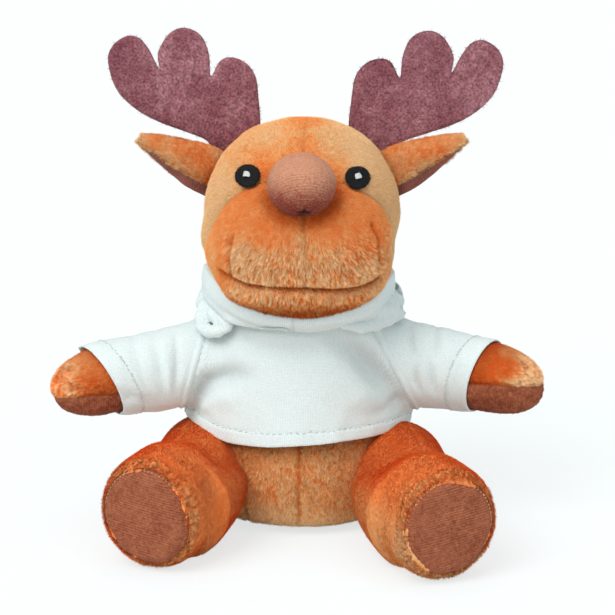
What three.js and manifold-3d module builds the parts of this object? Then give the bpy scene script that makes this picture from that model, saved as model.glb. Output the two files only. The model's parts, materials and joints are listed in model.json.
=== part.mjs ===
// A seated plush deer in a knitted hooded top. Millimetres, +Z up, the face looks along -Y.
// The origin is on the floor, under the middle of the body. "left" is the side at -X.
import * as THREE from 'three';
import { mergeVertices } from 'three/addons/utils/BufferGeometryUtils.js';
import Module from 'manifold-3d';

const wasm = await Module();
wasm.setup();

// Fabrics and clearances
const furCloth = 1.6;
const jersey = 1.3;
const velour = 1.2;
const felt = 2.2;
const seamGap = 0.3;
const seatGap = 0.4;
const coverGap = 0.6;
const floorPress = 0.5;
const overrun = 60;
const floorSpan = 360;

// Body
const bodyHeight = 94;
const bodyWidth = 88;
const bodyFront = 42;
const bodyBack = 34;
const neckHole = 15;
const neckTuck = 4.8;

// Head, measured from its middle
const headWidth = 80;
const headDepth = 76;
const headHeight = 81;
const headRise = 123.5;
const headForward = 4;
const muzzleWidth = 75;
const muzzleDepth = 56;
const muzzleHeight = 49;
const muzzleForward = 23;
const muzzleDrop = 10;
const noseWidth = 27;
const noseHeight = 25;
const noseForward = 43;
const noseRise = 22.5;
const noseHole = 4;
const headTurn = 20;

// Embroidery
const eyeWidth = 10;
const eyeHeight = 10.4;
const eyeSpread = 43;
const eyeRise = 21.6;
const highlightWidth = 3;
const highlightHeight = 2.4;
const stitchRise = 0.7;
const highlightStitch = 0.84;
const mouthWidth = 60;
const mouthDrop = 18.5;
const mouthSag = 4.5;
const mouthThread = 1.8;

// Ears
const earLength = 33;
const earHeight = 21;
const earDepth = 9;
const earRise = 17;
const earBack = 4;
const earLift = 27;
const earSwing = 8;
const earBackFrom = -60;
const earBackTo = 215;
const earLiningFrom = 165;
const earLiningTo = 330;

// Antlers, cut from felt
const antlerSpan = 61;
const antlerHeight = 38.5;
const antlerStart = 17;
const antlerRise = 37.5;
const antlerBack = 10.5;
const leftAntlerTilt = 0;
const rightAntlerTilt = 2;
const rightAntlerShift = 2.2;
const antlerSwing = 10;

// Arms and sleeves
const armLength = 61;
const armThickness = 27;
const handThickness = 27.5;
const shoulderBall = 17;
const shoulderSpread = 84;
const shoulderRise = 63.5;
const shoulderForward = 5;
const armForward = 15;
const armDrop = 5.5;
const palmStart = 39;
const sleeveLength = 39;
const sleeveRimAngle = 116;
const capAngle = 88;
const rightSleevePush = 6;
const cuffWidth = 31.5;
const cuffSlant = 11;
const armRaise = 25;
const armLower = 8;

// Legs and soles
const legLength = 77;
const hipBall = 20.5;
const hipSpread = 78;
const hipForward = 14;
const hipStagger = 6;
const ankleThickness = 37;
const footThickness = 44;
const soleWidth = 36.5;
const soleThickness = 2.4;
const leftSplay = 11;
const rightSplay = 8;
const soleTurn = 11;
const legSpread = 18;

// Hooded top
const hemRise = 39.5;
const hemFlare = 2.2;
const collarLow = 82.5;
const collarHeight = 7.5;
const collarFlare = 6;
const hoodDrop = 30;
const hoodDepth = 8;
const hoodRise = 10;
const hoodEase = 1.2;
const hoodStart = 75;
const foldDepth = 2.8;
const foldWidth = 8;
const hemWave = 1.4;
const hemWaves = 5;

// How much of the hood's depth and fall is left at its two ends
const hoodEndShare = 0.35;
// How far the hood's outer wall stands off at even steps from its rim to its fold, as shares of its depth
const hoodWallShares = [0.88, 0.96, 1, 0.95, 0.8, 0.55];
// Main folds of the top, each from one place to another: how far round it as a share of a half turn, how high as
// a share of the way from hem to collar, then its width and its depth as shares of the largest
const foldShares = [
  [-0.44, 0.22, -0.23, 0.5, 0.8, 0.75], [-0.42, 0.66, -0.18, 0.78, 0.7, 0.5],
  [0.06, 0.76, 0.3, 0.31, 1, 0.9], [0.22, 0.93, 0.36, 0.66, 0.6, 0.7],
  [0.66, 0.22, 0.84, 0.45, 0.8, 0.7], [-0.64, 0.28, -0.86, 0.4, 0.8, 0.7],
];
// Half width of the body at even steps from its underside to its top, as shares of the widest place
const bodyShares = [0, 0.8, 0.96, 1, 0.93, 0.84, 0.7, 0.4, 0];
// Thickness of an arm from under the sleeve to the tip: place along it, then share of the hand's
const handShares = [[0.56, 0.98], [0.66, 1], [0.8, 0.86], [0.92, 0.55], [0.98, 0.26], [1, 0]];
// The sleeve's part of an arm: place along it, then share of the arm's thickness
const armShares = [[0.2, 1], [0.4, 1]];
// How far below its middle a hand turns to palm, as a share of the hand's thickness
const palmLevelShare = 0.12;
// A leg from hip to foot: place along it, then shares of the hip's, the ankle's and the foot's radius
const legShares = [
  [0.15, 1, 0, 0], [0.36, 0.5, 0.5, 0], [0.6, 0, 1, 0],
  [0.72, 0, 0, 0.95], [0.82, 0, 0, 1], [0.92, 0, 0, 0.95],
];
const soleRimShare = 0.98;
const legBendShare = 0.55;
// How flat an ear is at its ends, and how open it is at its root
const earFlatShare = 0.45;
const earRootShare = 0.2;
// Half height of an ear from its root to its tip, as shares of the tallest place
const earShares = [0.45, 0.9, 1, 0.82, 0.5, 0.12];
// Outline of an antler from its inner root over three lobes to its outer root, as shares of span and height
const antlerShares = [
  [0, -0.12], [0.01, 0.3], [0.03, 0.5], [0.09, 0.63], [0.18, 0.69], [0.26, 0.655], [0.322, 0.5],
  [0.335, 0.73], [0.39, 0.925], [0.5, 1], [0.6, 0.93], [0.67, 0.74], [0.664, 0.57], [0.725, 0.76],
  [0.79, 0.89], [0.87, 0.915], [0.96, 0.83], [1, 0.69], [0.98, 0.48], [0.925, 0.3], [0.81, 0.13],
  [0.66, 0], [0.49, -0.1], [0.365, -0.18], [0.31, -0.28], [0.2, -0.42], [0.08, -0.3],
];

// How close to a pole the first ring of the body lies, as a share of a row
const poleShare = 0.3;
// Outer end of an antler's seam on the head
const antlerRootShares = [0.33, -0.24];

const turn = THREE.MathUtils.degToRad;
const sides = [
  {
    name: 'left', sign: -1, splay: leftSplay, hipY: -hipForward + hipStagger,
    sleeve: sleeveLength, antlerTilt: leftAntlerTilt, antlerShift: 0,
  },
  {
    name: 'right', sign: 1, splay: rightSplay, hipY: -hipForward - hipStagger,
    sleeve: sleeveLength - rightSleevePush, antlerTilt: rightAntlerTilt, antlerShift: rightAntlerShift,
  },
];

// Facets round a piece and along it
const fineSides = 22;
const fineRows = 12;
const coarseSides = 12;
const coarseRows = 7;
const roomSides = 20;
const hiddenSides = 12;
const topSides = 36;
const topRows = 10;
// A faceted cutter is drawn out so that its facets clear the true round
const drawnOut = (count) => 1 / Math.cos(Math.PI / count) ** 2;
const outside = drawnOut(roomSides);

// Materials
const cloth = (color, roughness) => new THREE.MeshStandardMaterial({ color, roughness, metalness: 0 });
const furFabric = cloth(0xcf7f42, 0.9);
const velourFabric = cloth(0x9c5a45, 0.85);
const earVelour = cloth(0x845048, 0.85);
const feltFabric = cloth(0x935b63, 0.95);
const whiteJersey = cloth(0xe6ecea, 0.9);
const blackThread = cloth(0x161213, 0.6);
const whiteThread = cloth(0xdcdad6, 0.6);
const brownThread = cloth(0x5a2a1c, 0.8);
const polyester = cloth(0xf2f1ec, 1);

// Solids for joining and cutting
function solid(geometry) {
  const bare = geometry.index ? geometry.clone() : mergeVertices(geometry);
  for (const name of Object.keys(bare.attributes)) {
    if (name !== 'position') bare.deleteAttribute(name);
  }
  const merged = mergeVertices(bare);
  const body = new wasm.Manifold(new wasm.Mesh({
    numProp: 3,
    vertProperties: new Float32Array(merged.attributes.position.array),
    triVerts: new Uint32Array(merged.index.array),
  }));
  return body;
}

function geometryOf(body) {
  const data = body.getMesh();
  const geometry = new THREE.BufferGeometry();
  geometry.setAttribute('position', new THREE.BufferAttribute(data.vertProperties.slice(), 3));
  geometry.setIndex(new THREE.BufferAttribute(data.triVerts.slice(), 1));
  geometry.computeVertexNormals();
  return geometry;
}

function piece(name, body, material) {
  const mesh = new THREE.Mesh(geometryOf(body), material);
  mesh.name = name;
  return mesh;
}

const union = (...bodies) => bodies.reduce((whole, body) => whole.add(body));

function moved(geometry, matrix) {
  return solid(geometry.clone().applyMatrix4(matrix));
}

function block(width, depth, height, x, y, z) {
  return solid(new THREE.BoxGeometry(width, depth, height).translate(x, y, z));
}

// A smooth value between the entries of an evenly spaced table
function between(values, share) {
  const place = THREE.MathUtils.clamp(share, 0, 1) * (values.length - 1);
  const index = Math.min(Math.floor(place), values.length - 2);
  const at = (i) => values[THREE.MathUtils.clamp(i, 0, values.length - 1)];
  const t = place - index;
  const slopeIn = (at(index + 1) - at(index - 1)) / 2;
  const slopeOut = (at(index + 2) - at(index)) / 2;
  const blendStart = (1 + 2 * t) * (1 - t) ** 2;
  const blendEnd = t * t * (3 - 2 * t);
  return blendStart * at(index) + t * (1 - t) ** 2 * slopeIn
    + blendEnd * at(index + 1) - t * t * (1 - t) * slopeOut;
}

// A closed skin over rings of points; the first and last rings close onto their middles
function closedRings(rings) {
  const count = rings[0].length;
  const points = rings.flat();
  const faces = [];
  for (let r = 0; r + 1 < rings.length; r += 1) {
    for (let i = 0; i < count; i += 1) {
      const a = r * count + i;
      const b = r * count + ((i + 1) % count);
      faces.push(a, b, b + count, a, b + count, a + count);
    }
  }
  const middle = (ring) => ring.reduce((sum, p) => sum.add(p), new THREE.Vector3()).divideScalar(count);
  const first = points.push(middle(rings[0])) - 1;
  const last = points.push(middle(rings[rings.length - 1])) - 1;
  const top = (rings.length - 1) * count;
  for (let i = 0; i < count; i += 1) {
    const next = (i + 1) % count;
    faces.push(first, next, i, last, top + i, top + next);
  }
  return meshFrom(points, faces);
}

// A band whose section is a closed loop: the last ring joins the first
function closedLoop(rings, openEnds = false) {
  const count = rings[0].length;
  const points = rings.flat();
  const faces = [];
  const turns = openEnds ? count - 1 : count;
  for (let r = 0; r < rings.length; r += 1) {
    const next = (r + 1) % rings.length;
    for (let i = 0; i < turns; i += 1) {
      const j = (i + 1) % count;
      faces.push(r * count + i, r * count + j, next * count + j);
      faces.push(r * count + i, next * count + j, next * count + i);
    }
  }
  if (openEnds) {
    const half = rings.length / 2;
    for (let r = 0; r + 1 < half; r += 1) {
      const across = rings.length - 1 - r;
      const quad = [r * count, (r + 1) * count, (across - 1) * count, across * count];
      faces.push(quad[0], quad[1], quad[2], quad[0], quad[2], quad[3]);
      const end = quad.map((v) => v + count - 1);
      faces.push(end[2], end[1], end[0], end[3], end[2], end[0]);
    }
  }
  return meshFrom(points, faces);
}

function meshFrom(points, faces) {
  const geometry = new THREE.BufferGeometry();
  const values = points.flatMap((p) => [p.x, p.y, p.z]);
  geometry.setAttribute('position', new THREE.Float32BufferAttribute(values, 3));
  geometry.setIndex(faces);
  const p = points;
  let volume = 0;
  for (let f = 0; f < faces.length; f += 3) {
    volume += p[faces[f]].dot(p[faces[f + 1]].clone().cross(p[faces[f + 2]]));
  }
  if (volume < 0) geometry.setIndex(faces.slice().reverse());
  return geometry;
}

function ring(count, point) {
  return Array.from({ length: count }, (_, i) => point((2 * Math.PI * i) / count));
}

// An egg: a ball with three half sizes, grown or shrunk evenly
function egg(width, depth, height, centre, grow, round = fineSides, rows = fineRows) {
  const geometry = new THREE.SphereGeometry(1, round, rows).rotateX(Math.PI / 2);
  geometry.scale(width / 2 + grow, depth / 2 + grow, height / 2 + grow);
  return geometry.translate(centre.x, centre.y, centre.z);
}

// The outline of the body: half width by height, then a point on it or off it
const bodyWhole = bodyHeight + floorPress;
function bodyHalf(z, grow) {
  const bottom = -floorPress - grow;
  const share = THREE.MathUtils.clamp((z - bottom) / (bodyWhole + 2 * grow), 0, 1);
  return between(bodyShares, Math.acos(1 - 2 * share) / Math.PI) * (bodyWidth / 2);
}

// Azimuth 0 is the front, positive towards +X
function bodyPoint(azimuth, z, grow, level = 0) {
  const half = bodyHalf(z, level);
  const depth = Math.cos(azimuth) > 0 ? bodyFront : bodyBack;
  const depthHalf = (half * depth) / (bodyWidth / 2);
  const x = Math.sin(azimuth) * (half + grow);
  const y = -Math.cos(azimuth) * (depthHalf + grow);
  return new THREE.Vector3(x, y, z);
}

function bodyForm(grow, round = fineSides, rows = fineRows) {
  const rings = [];
  const steps = [poleShare, ...Array.from({ length: rows - 1 }, (_, r) => r + 1), rows - poleShare];
  for (const step of steps) {
    const share = (1 - Math.cos((Math.PI * step) / rows)) / 2;
    const z = -floorPress - grow + share * (bodyWhole + 2 * grow);
    rings.push(ring(round, (a) => bodyPoint(a, z, grow, grow)));
  }
  return solid(closedRings(rings));
}

// Frames of the parts that move: where they turn, and how they lie at rest
const neckPivot = new THREE.Vector3(0, -headForward, headRise - headHeight / 2);
const headMiddle = new THREE.Vector3(0, -headForward, headRise);
const muzzleMiddle = new THREE.Vector3(0, -headForward - muzzleForward, headRise - muzzleDrop);
const noseMiddle = new THREE.Vector3(0, -headForward - noseForward, headRise + noseRise);

function frameAlong(origin, along, up) {
  const z = along.clone().normalize();
  const x = new THREE.Vector3().crossVectors(up, z).normalize();
  const y = new THREE.Vector3().crossVectors(z, x);
  return new THREE.Matrix4().makeBasis(x, y, z).setPosition(origin);
}

const worldUp = new THREE.Vector3(0, 0, 1);

function armFrame(side, raise = 0) {
  const flat = Math.cos(turn(armDrop));
  const along = new THREE.Vector3(
    side.sign * flat * Math.cos(turn(armForward)),
    -flat * Math.sin(turn(armForward)),
    -Math.sin(turn(armDrop)),
  );
  along.applyAxisAngle(new THREE.Vector3(0, 1, 0), -side.sign * turn(raise));
  const origin = new THREE.Vector3((side.sign * shoulderSpread) / 2, -shoulderForward, shoulderRise);
  return frameAlong(origin, along, worldUp);
}

function legFrame(side, spread = 0) {
  const angle = turn(side.splay + spread);
  const along = new THREE.Vector3(side.sign * Math.sin(angle), -Math.cos(angle), 0);
  const origin = new THREE.Vector3((side.sign * hipSpread) / 2, side.hipY, footThickness / 2 - floorPress);
  return frameAlong(origin, along, worldUp);
}

// The room that a limb needs in what carries it: its ball, and its tube at both ends of its travel
function room(frames, radius, reach, count) {
  const clear = radius * drawnOut(count);
  const ball = new THREE.SphereGeometry(clear, count, count / 2);
  const tube = new THREE.CylinderGeometry(clear, clear, reach, count).rotateX(Math.PI / 2);
  tube.translate(0, 0, reach / 2);
  return union(moved(ball, frames[0]), ...frames.map((frame) => moved(tube, frame)));
}

function armRoom(side, grow, angles, count = roomSides) {
  return room(angles.map((angle) => armFrame(side, angle)), shoulderBall + grow, armLength, count);
}

function legRoom(side, grow, count = roomSides) {
  return room([legFrame(side)], hipBall + grow, legLength, count);
}

function headForm(grow, round = fineSides, rows = fineRows) {
  return solid(egg(headWidth, headDepth, headHeight, headMiddle, grow, round, rows));
}

function muzzleForm(grow, round = fineSides, rows = fineRows) {
  return solid(egg(muzzleWidth, muzzleDepth, muzzleHeight, muzzleMiddle, grow, round, rows));
}

// The room that the head needs as it turns: its round underside, and the muzzle at both ends of the turn
function headRoom(grow) {
  const width = headWidth * outside;
  return solid(egg(width, width, headHeight * outside, headMiddle, grow, roomSides, roomSides / 2));
}

function muzzleRoom(grow) {
  const swept = [-headTurn, 0, headTurn].map((angle) => {
    const about = new THREE.Matrix4().makeTranslation(neckPivot.x, neckPivot.y, neckPivot.z);
    about.multiply(new THREE.Matrix4().makeRotationZ(turn(angle)));
    about.multiply(new THREE.Matrix4().makeTranslation(-neckPivot.x, -neckPivot.y, -neckPivot.z));
    const size = [muzzleWidth * outside, muzzleDepth * outside, muzzleHeight * outside];
    return moved(egg(...size, muzzleMiddle, grow, roomSides, roomSides / 2), about);
  });
  return union(...swept);
}

const floorBlock = block(floorSpan, floorSpan, overrun, 0, 0, -overrun / 2);
const lowestFloor = (grow) => floorBlock.translate(0, 0, grow);

// Body skin and its stuffing
function makeBody() {
  const cut = (grow, count) => union(
    ...sides.map((side) => armRoom(side, seamGap + grow, [-armLower], count)),
    ...sides.map((side) => legRoom(side, seamGap + grow, count)),
    headRoom(seamGap + grow),
    lowestFloor(grow),
  );
  const hole = solid(new THREE.CylinderGeometry(neckHole, neckHole, overrun, 16).rotateX(Math.PI / 2)
    .translate(neckPivot.x, neckPivot.y, bodyHeight));
  const skin = bodyForm(0).subtract(cut(0, roomSides));
  const hollow = bodyForm(-furCloth, coarseSides, coarseRows).subtract(cut(furCloth, hiddenSides));
  const inset = furCloth + seamGap;
  const stuffing = bodyForm(-inset, coarseSides, coarseRows).subtract(cut(inset, hiddenSides));
  return [
    piece('body_skin', skin.subtract(hollow).subtract(hole), furFabric),
    piece('body_stuffing', stuffing, polyester),
  ];
}

// Head: fur skin, muzzle panel in its own seam, stuffing
function makeHead() {
  const whole = union(headForm(0), muzzleForm(0));
  const filling = (grow) => union(
    headForm(grow, coarseSides, coarseRows),
    muzzleForm(grow, coarseSides, coarseRows),
  );
  const hole = solid(new THREE.CylinderGeometry(neckHole, neckHole, overrun, 16).rotateX(Math.PI / 2)
    .translate(neckPivot.x, neckPivot.y, neckPivot.z - overrun / 2 + neckTuck));
  const shell = whole.subtract(filling(-furCloth));
  const panel = muzzleForm(seamGap);
  const skin = shell.subtract(muzzleForm(seamGap * 2)).subtract(hole);
  const stuffing = filling(-furCloth - seamGap);
  return [
    piece('head_skin', skin, furFabric),
    piece('muzzle_panel', shell.intersect(panel).subtract(hole), furFabric),
    piece('head_stuffing', stuffing, polyester),
  ];
}

// Nose: a gathered velour cover over a ball of stuffing
function makeNose() {
  const size = [noseWidth, noseWidth, noseHeight];
  const ball = (grow, round, rows) => solid(egg(...size, noseMiddle, grow, round, rows));
  const face = (grow) => union(headForm(grow), muzzleForm(grow));
  const hole = solid(new THREE.CylinderGeometry(noseHole, noseHole, noseWidth, 16).translate(
    noseMiddle.x, noseMiddle.y + noseWidth / 2, noseMiddle.z));
  const shell = ball(0, 18, 10).subtract(ball(-velour, coarseSides, coarseRows));
  const cover = shell.subtract(face(seamGap)).subtract(hole);
  const stuffing = ball(-velour - seamGap, coarseSides, coarseRows).subtract(face(seamGap));
  return [piece('nose_cover', cover, velourFabric), piece('nose_stuffing', stuffing, polyester)];
}

// Embroidery lies on the pile as a thin raised patch
function patch(outline, lift, rise) {
  const whole = (grow) => union(headForm(grow), muzzleForm(grow));
  return whole(lift + rise).subtract(whole(lift)).intersect(outline);
}

function ovalPost(width, height, x, z) {
  const post = new THREE.CylinderGeometry(1, 1, headDepth, 20);
  post.scale(width / 2, 1, height / 2).translate(x, -headForward - headDepth / 2, z);
  return solid(post);
}

function makeEyes() {
  const z = headRise + eyeRise;
  return sides.flatMap((side) => {
    const x = (side.sign * eyeSpread) / 2;
    const spot = ovalPost(highlightWidth, highlightHeight, x, z);
    const room = ovalPost(highlightWidth + 2 * seamGap, highlightHeight + 2 * seamGap, x, z);
    const black = patch(ovalPost(eyeWidth, eyeHeight, x, z), seamGap, stitchRise).subtract(room);
    const white = patch(spot, seamGap, highlightStitch);
    return [
      piece(`${side.name}_eye`, black, blackThread),
      piece(`${side.name}_eye_highlight`, white, whiteThread),
    ];
  });
}

function makeMouth() {
  const z = headRise - mouthDrop;
  const steps = 16;
  const line = (x) => mouthSag * (2 * x / mouthWidth) ** 4;
  const shape = new THREE.Shape();
  for (let i = 0; i <= steps; i += 1) {
    const x = mouthWidth * (i / steps - 0.5);
    const y = z + line(x) - mouthThread / 2;
    if (i === 0) shape.moveTo(x, y);
    else shape.lineTo(x, y);
  }
  for (let i = steps; i >= 0; i -= 1) {
    const x = mouthWidth * (i / steps - 0.5);
    shape.lineTo(x, z + line(x) + mouthThread / 2);
  }
  const bar = new THREE.ExtrudeGeometry(shape, { depth: headDepth, bevelEnabled: false });
  bar.rotateX(Math.PI / 2).translate(0, -headForward, 0);
  return [piece('mouth_stitching', patch(solid(bar), seamGap, stitchRise), brownThread)];
}

// Ears: a fur back folded over a velour lining, drawn together at the root
function earStrip(outer, thick, from, to, rows, columns) {
  const arc = (row, inset) => {
    const share = row / (rows - 1);
    const half = between(earShares, share) * (earHeight / 2);
    const swell = Math.sin(Math.PI * (earRootShare + (1 - earRootShare) * share));
    const deep = (earDepth / 2) * (earFlatShare + (1 - earFlatShare) * swell);
    const along = share * earLength;
    return Array.from({ length: columns }, (_, i) => {
      const angle = turn(from + ((to - from) * i) / (columns - 1));
      const x = Math.max(deep - inset, seamGap) * Math.cos(angle);
      const y = Math.max(half - inset, seamGap) * Math.sin(angle);
      return new THREE.Vector3(x, y, along);
    });
  };
  const rings = [];
  for (let row = 0; row < rows; row += 1) rings.push(arc(row, outer));
  for (let row = rows - 1; row >= 0; row -= 1) rings.push(arc(row, outer + thick));
  return closedLoop(rings, true);
}

function earFrame(side) {
  const rise = earRise;
  const level = Math.sqrt(Math.max(0, 1 - (rise / (headHeight / 2)) ** 2 - (earBack / (headDepth / 2)) ** 2));
  const reach = (headWidth / 2) * level;
  const origin = new THREE.Vector3(side.sign * reach, -headForward + earBack, headRise + rise);
  const along = new THREE.Vector3(side.sign * Math.cos(turn(earLift)), 0, Math.sin(turn(earLift)));
  return frameAlong(origin, along, worldUp);
}

// What a hinged piece must clear: the head as the piece sees it at both ends of its swing
function headSeenFrom(pivot, axis, swing) {
  const seen = [-swing, 0, swing].map((angle) => {
    const about = new THREE.Matrix4().makeTranslation(pivot.x, pivot.y, pivot.z);
    about.multiply(new THREE.Matrix4().makeRotationAxis(axis, turn(angle)));
    about.multiply(new THREE.Matrix4().makeTranslation(-pivot.x, -pivot.y, -pivot.z));
    return moved(egg(headWidth, headDepth, headHeight, headMiddle, seatGap), about);
  });
  return union(...seen);
}

function makeEars() {
  const rows = 8;
  const columns = 7;
  const forward = new THREE.Vector3(0, 1, 0);
  return sides.flatMap((side) => {
    const frame = earFrame(side);
    const pivot = new THREE.Vector3().setFromMatrixPosition(frame);
    const clear = headSeenFrom(pivot, forward, earSwing);
    const mirror = new THREE.Matrix4().makeScale(side.sign, 1, 1);
    const place = frame.clone().multiply(mirror);
    const back = earStrip(0, velour, earBackFrom, earBackTo, rows, columns + 4);
    const within = velour + seamGap;
    const lining = earStrip(within, velour, earLiningFrom, earLiningTo, rows, columns);
    const seated = (geometry) => {
      const placed = geometry.clone().applyMatrix4(place);
      if (side.sign < 0) placed.setIndex(Array.from(placed.index.array).reverse());
      return solid(placed).subtract(clear);
    };
    return [
      piece(`${side.name}_ear_back`, seated(back), furFabric),
      piece(`${side.name}_ear_lining`, seated(lining), earVelour),
    ];
  });
}

// Antlers: one flat sheet of felt each, sewn into the seam across the crown
function makeAntlers() {
  return sides.map((side) => {
    const root = new THREE.Vector2(side.sign * (antlerStart + side.antlerShift), headRise + antlerRise);
    const points = antlerShares.map(([u, v]) => new THREE.Vector2(
      root.x + side.sign * u * antlerSpan,
      root.y + v * antlerHeight,
    ).rotateAround(root, -side.sign * turn(side.antlerTilt)));
    const outline = new THREE.SplineCurve([...points, points[0]]).getPoints(58);
    const shape = new THREE.Shape(outline.slice(0, -1));
    const sheet = new THREE.ExtrudeGeometry(shape, { depth: felt, bevelEnabled: false });
    const back = -headForward + antlerBack;
    sheet.rotateX(Math.PI / 2).translate(0, back + felt / 2, 0);
    const [u, v] = antlerRootShares;
    const axis = new THREE.Vector3(side.sign * u * antlerSpan, 0, v * antlerHeight);
    const pivot = new THREE.Vector3(root.x + axis.x / 2, back, root.y + axis.z / 2);
    const clear = headSeenFrom(pivot, axis.normalize(), antlerSwing);
    return piece(`${side.name}_antler`, solid(sheet).subtract(clear), feltFabric);
  });
}

// A round limb in its own frame: it starts with a cap of its seat's ball and runs along +Z
function limb(ballRadius, startAngle, stations, grow, round, shape) {
  const rings = [];
  const arcSteps = 4;
  for (let i = 1; i <= arcSteps; i += 1) {
    const angle = Math.PI - ((Math.PI - turn(startAngle)) * i) / arcSteps;
    const radius = ballRadius + grow;
    rings.push([radius * Math.cos(angle), radius * Math.sin(angle)]);
  }
  for (const [along, radius] of stations) rings.push([along, radius + grow]);
  return solid(closedRings(rings.map(([along, radius]) => {
    const out = Math.max(radius, seamGap);
    return ring(round, (a) => shape(new THREE.Vector3(out * Math.cos(a), out * Math.sin(a), along)));
  })));
}

// Arms: fur above, a velour palm below, stuffing, and the sleeve over them
function makeArm(side) {
  const frame = armFrame(side);
  const startAngle = 180 - THREE.MathUtils.radToDeg(Math.asin(armThickness / 2 / shoulderBall));
  const stations = (grow) => {
    const list = armShares.map(([place, share]) => [armLength * place, (armThickness / 2) * share]);
    for (const [place, share] of handShares) {
      list.push([armLength * place + grow * place ** 4, (handThickness / 2) * share]);
    }
    return list;
  };
  const form = (grow, round) => limb(shoulderBall, startAngle, stations(grow), grow, round, (v) => v);
  const hole = solid(new THREE.CylinderGeometry(armThickness / 4, armThickness / 4, shoulderBall * 2, 20)
    .rotateX(Math.PI / 2).translate(0, 0, -shoulderBall));
  const shell = form(0, 16).subtract(form(-furCloth, 10));
  const palm = (gap) => block(
    handThickness * 2, handThickness + 2 * gap, armLength + 2 * gap,
    0, -handThickness / 2 - handThickness * palmLevelShare, palmStart + armLength / 2,
  );
  const skin = shell.subtract(palm(seamGap)).subtract(hole);
  const pad = shell.intersect(palm(0));
  const group = new THREE.Group();
  group.applyMatrix4(frame);
  group.add(
    piece(`${side.name}_arm_skin`, skin, furFabric),
    piece(`${side.name}_palm`, pad, velourFabric),
    piece(`${side.name}_arm_stuffing`, form(-furCloth - seamGap, 10), polyester),
    piece(`${side.name}_sleeve`, makeSleeve(side), whiteJersey),
  );
  return group;
}

function makeSleeve(side) {
  const steps = 4;
  const inner = [];
  const outer = [];
  for (let i = 0; i <= steps; i += 1) {
    const angle = turn(sleeveRimAngle - ((sleeveRimAngle - capAngle) * i) / steps);
    outer.push([shoulderBall * Math.cos(angle), shoulderBall * Math.sin(angle)]);
    const within = Math.max((shoulderBall - jersey) * Math.sin(angle), armThickness / 2 + seamGap);
    inner.push([shoulderBall * Math.cos(angle), within]);
  }
  const runs = 3;
  for (let i = 1; i <= runs; i += 1) {
    const share = i / runs;
    const waist = shoulderBall * (1 - share) + (cuffWidth / 2) * share;
    outer.push([side.sleeve * share, waist]);
    inner.push([side.sleeve * share, Math.max(waist - jersey, handThickness / 2 + seamGap)]);
  }
  const profile = [...outer, ...inner.reverse()];
  const slant = Math.tan(turn(cuffSlant));
  const rings = profile.map(([along, radius]) => ring(18, (a) => {
    const y = radius * Math.sin(a);
    const lean = slant * y * (Math.max(along, 0) / side.sleeve) ** 2;
    return new THREE.Vector3(radius * Math.cos(a), y, along + lean);
  }));
  return solid(closedLoop(rings));
}

// Legs: fur with a velour sole let into the foot
function makeLeg(side) {
  const frame = legFrame(side);
  const bendAt = legLength * legBendShare;
  const bend = (v) => {
    const over = Math.max(0, (v.z - bendAt) / (legLength - bendAt));
    const angle = side.sign * turn(soleTurn) * over * over * (3 - 2 * over);
    const about = new THREE.Vector3(0, 0, bendAt);
    const point = v.clone().sub(about).applyAxisAngle(new THREE.Vector3(0, 1, 0), angle).add(about);
    return point;
  };
  const stations = (grow) => [
    ...legShares.map(([place, hip, ankle, foot]) => [
      legLength * place,
      hip * hipBall + (ankle * ankleThickness + foot * footThickness) / 2,
    ]),
    [legLength * soleRimShare + grow / 2, soleWidth / 2 + velour],
    [legLength + grow, soleWidth / 2],
  ];
  const form = (grow, round) => limb(hipBall, capAngle, stations(grow), grow, round, bend);
  const hole = solid(new THREE.CylinderGeometry(hipBall / 2, hipBall / 2, hipBall * 2, 20)
    .rotateX(Math.PI / 2).translate(0, 0, -hipBall));
  const turned = new THREE.Matrix4().makeTranslation(0, 0, bendAt)
    .multiply(new THREE.Matrix4().makeRotationY(side.sign * turn(soleTurn)))
    .multiply(new THREE.Matrix4().makeTranslation(0, 0, -bendAt));
  const disc = (radius, from, to) => moved(
    new THREE.CylinderGeometry(radius, radius, to - from, 24).rotateX(Math.PI / 2)
      .translate(0, 0, (from + to) / 2),
    turned,
  );
  const front = legLength + velour / 2;
  const behind = front - soleThickness;
  const sole = disc(soleWidth / 2 - velour, behind, front);
  const soleRoom = disc(soleWidth / 2 - velour + seamGap, behind - seamGap, front + overrun);
  const toFrame = frame.clone().invert();
  const ground = moved(
    new THREE.BoxGeometry(floorSpan, floorSpan, overrun).translate(0, 0, -overrun / 2),
    toFrame,
  );
  const inside = form(-furCloth, 10);
  const skin = form(0, 18).subtract(inside).subtract(hole).subtract(soleRoom).subtract(ground);
  const soleSeat = disc(footThickness, behind - seamGap * 2, front + overrun);
  const group = new THREE.Group();
  group.applyMatrix4(frame);
  group.add(
    piece(`${side.name}_leg_skin`, skin, furFabric),
    piece(`${side.name}_sole`, sole, velourFabric),
    piece(`${side.name}_leg_stuffing`, form(-furCloth - seamGap, 10).subtract(soleSeat), polyester),
  );
  return group;
}

// The hooded top: two body panels, a collar band, and the hood folded down behind

// How far the top stands off its own rest on the body: out at the hem, and out again to the collar
function topEase(z) {
  const share = (z - hemRise) / (collarLow - hemRise);
  if (share <= 1) return hemFlare * (1 - share) ** 4 + collarFlare * share ** 6;
  const roll = Math.min(1, (z - collarLow) / collarHeight);
  return collarFlare + jersey * Math.sin(Math.PI * roll);
}

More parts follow.
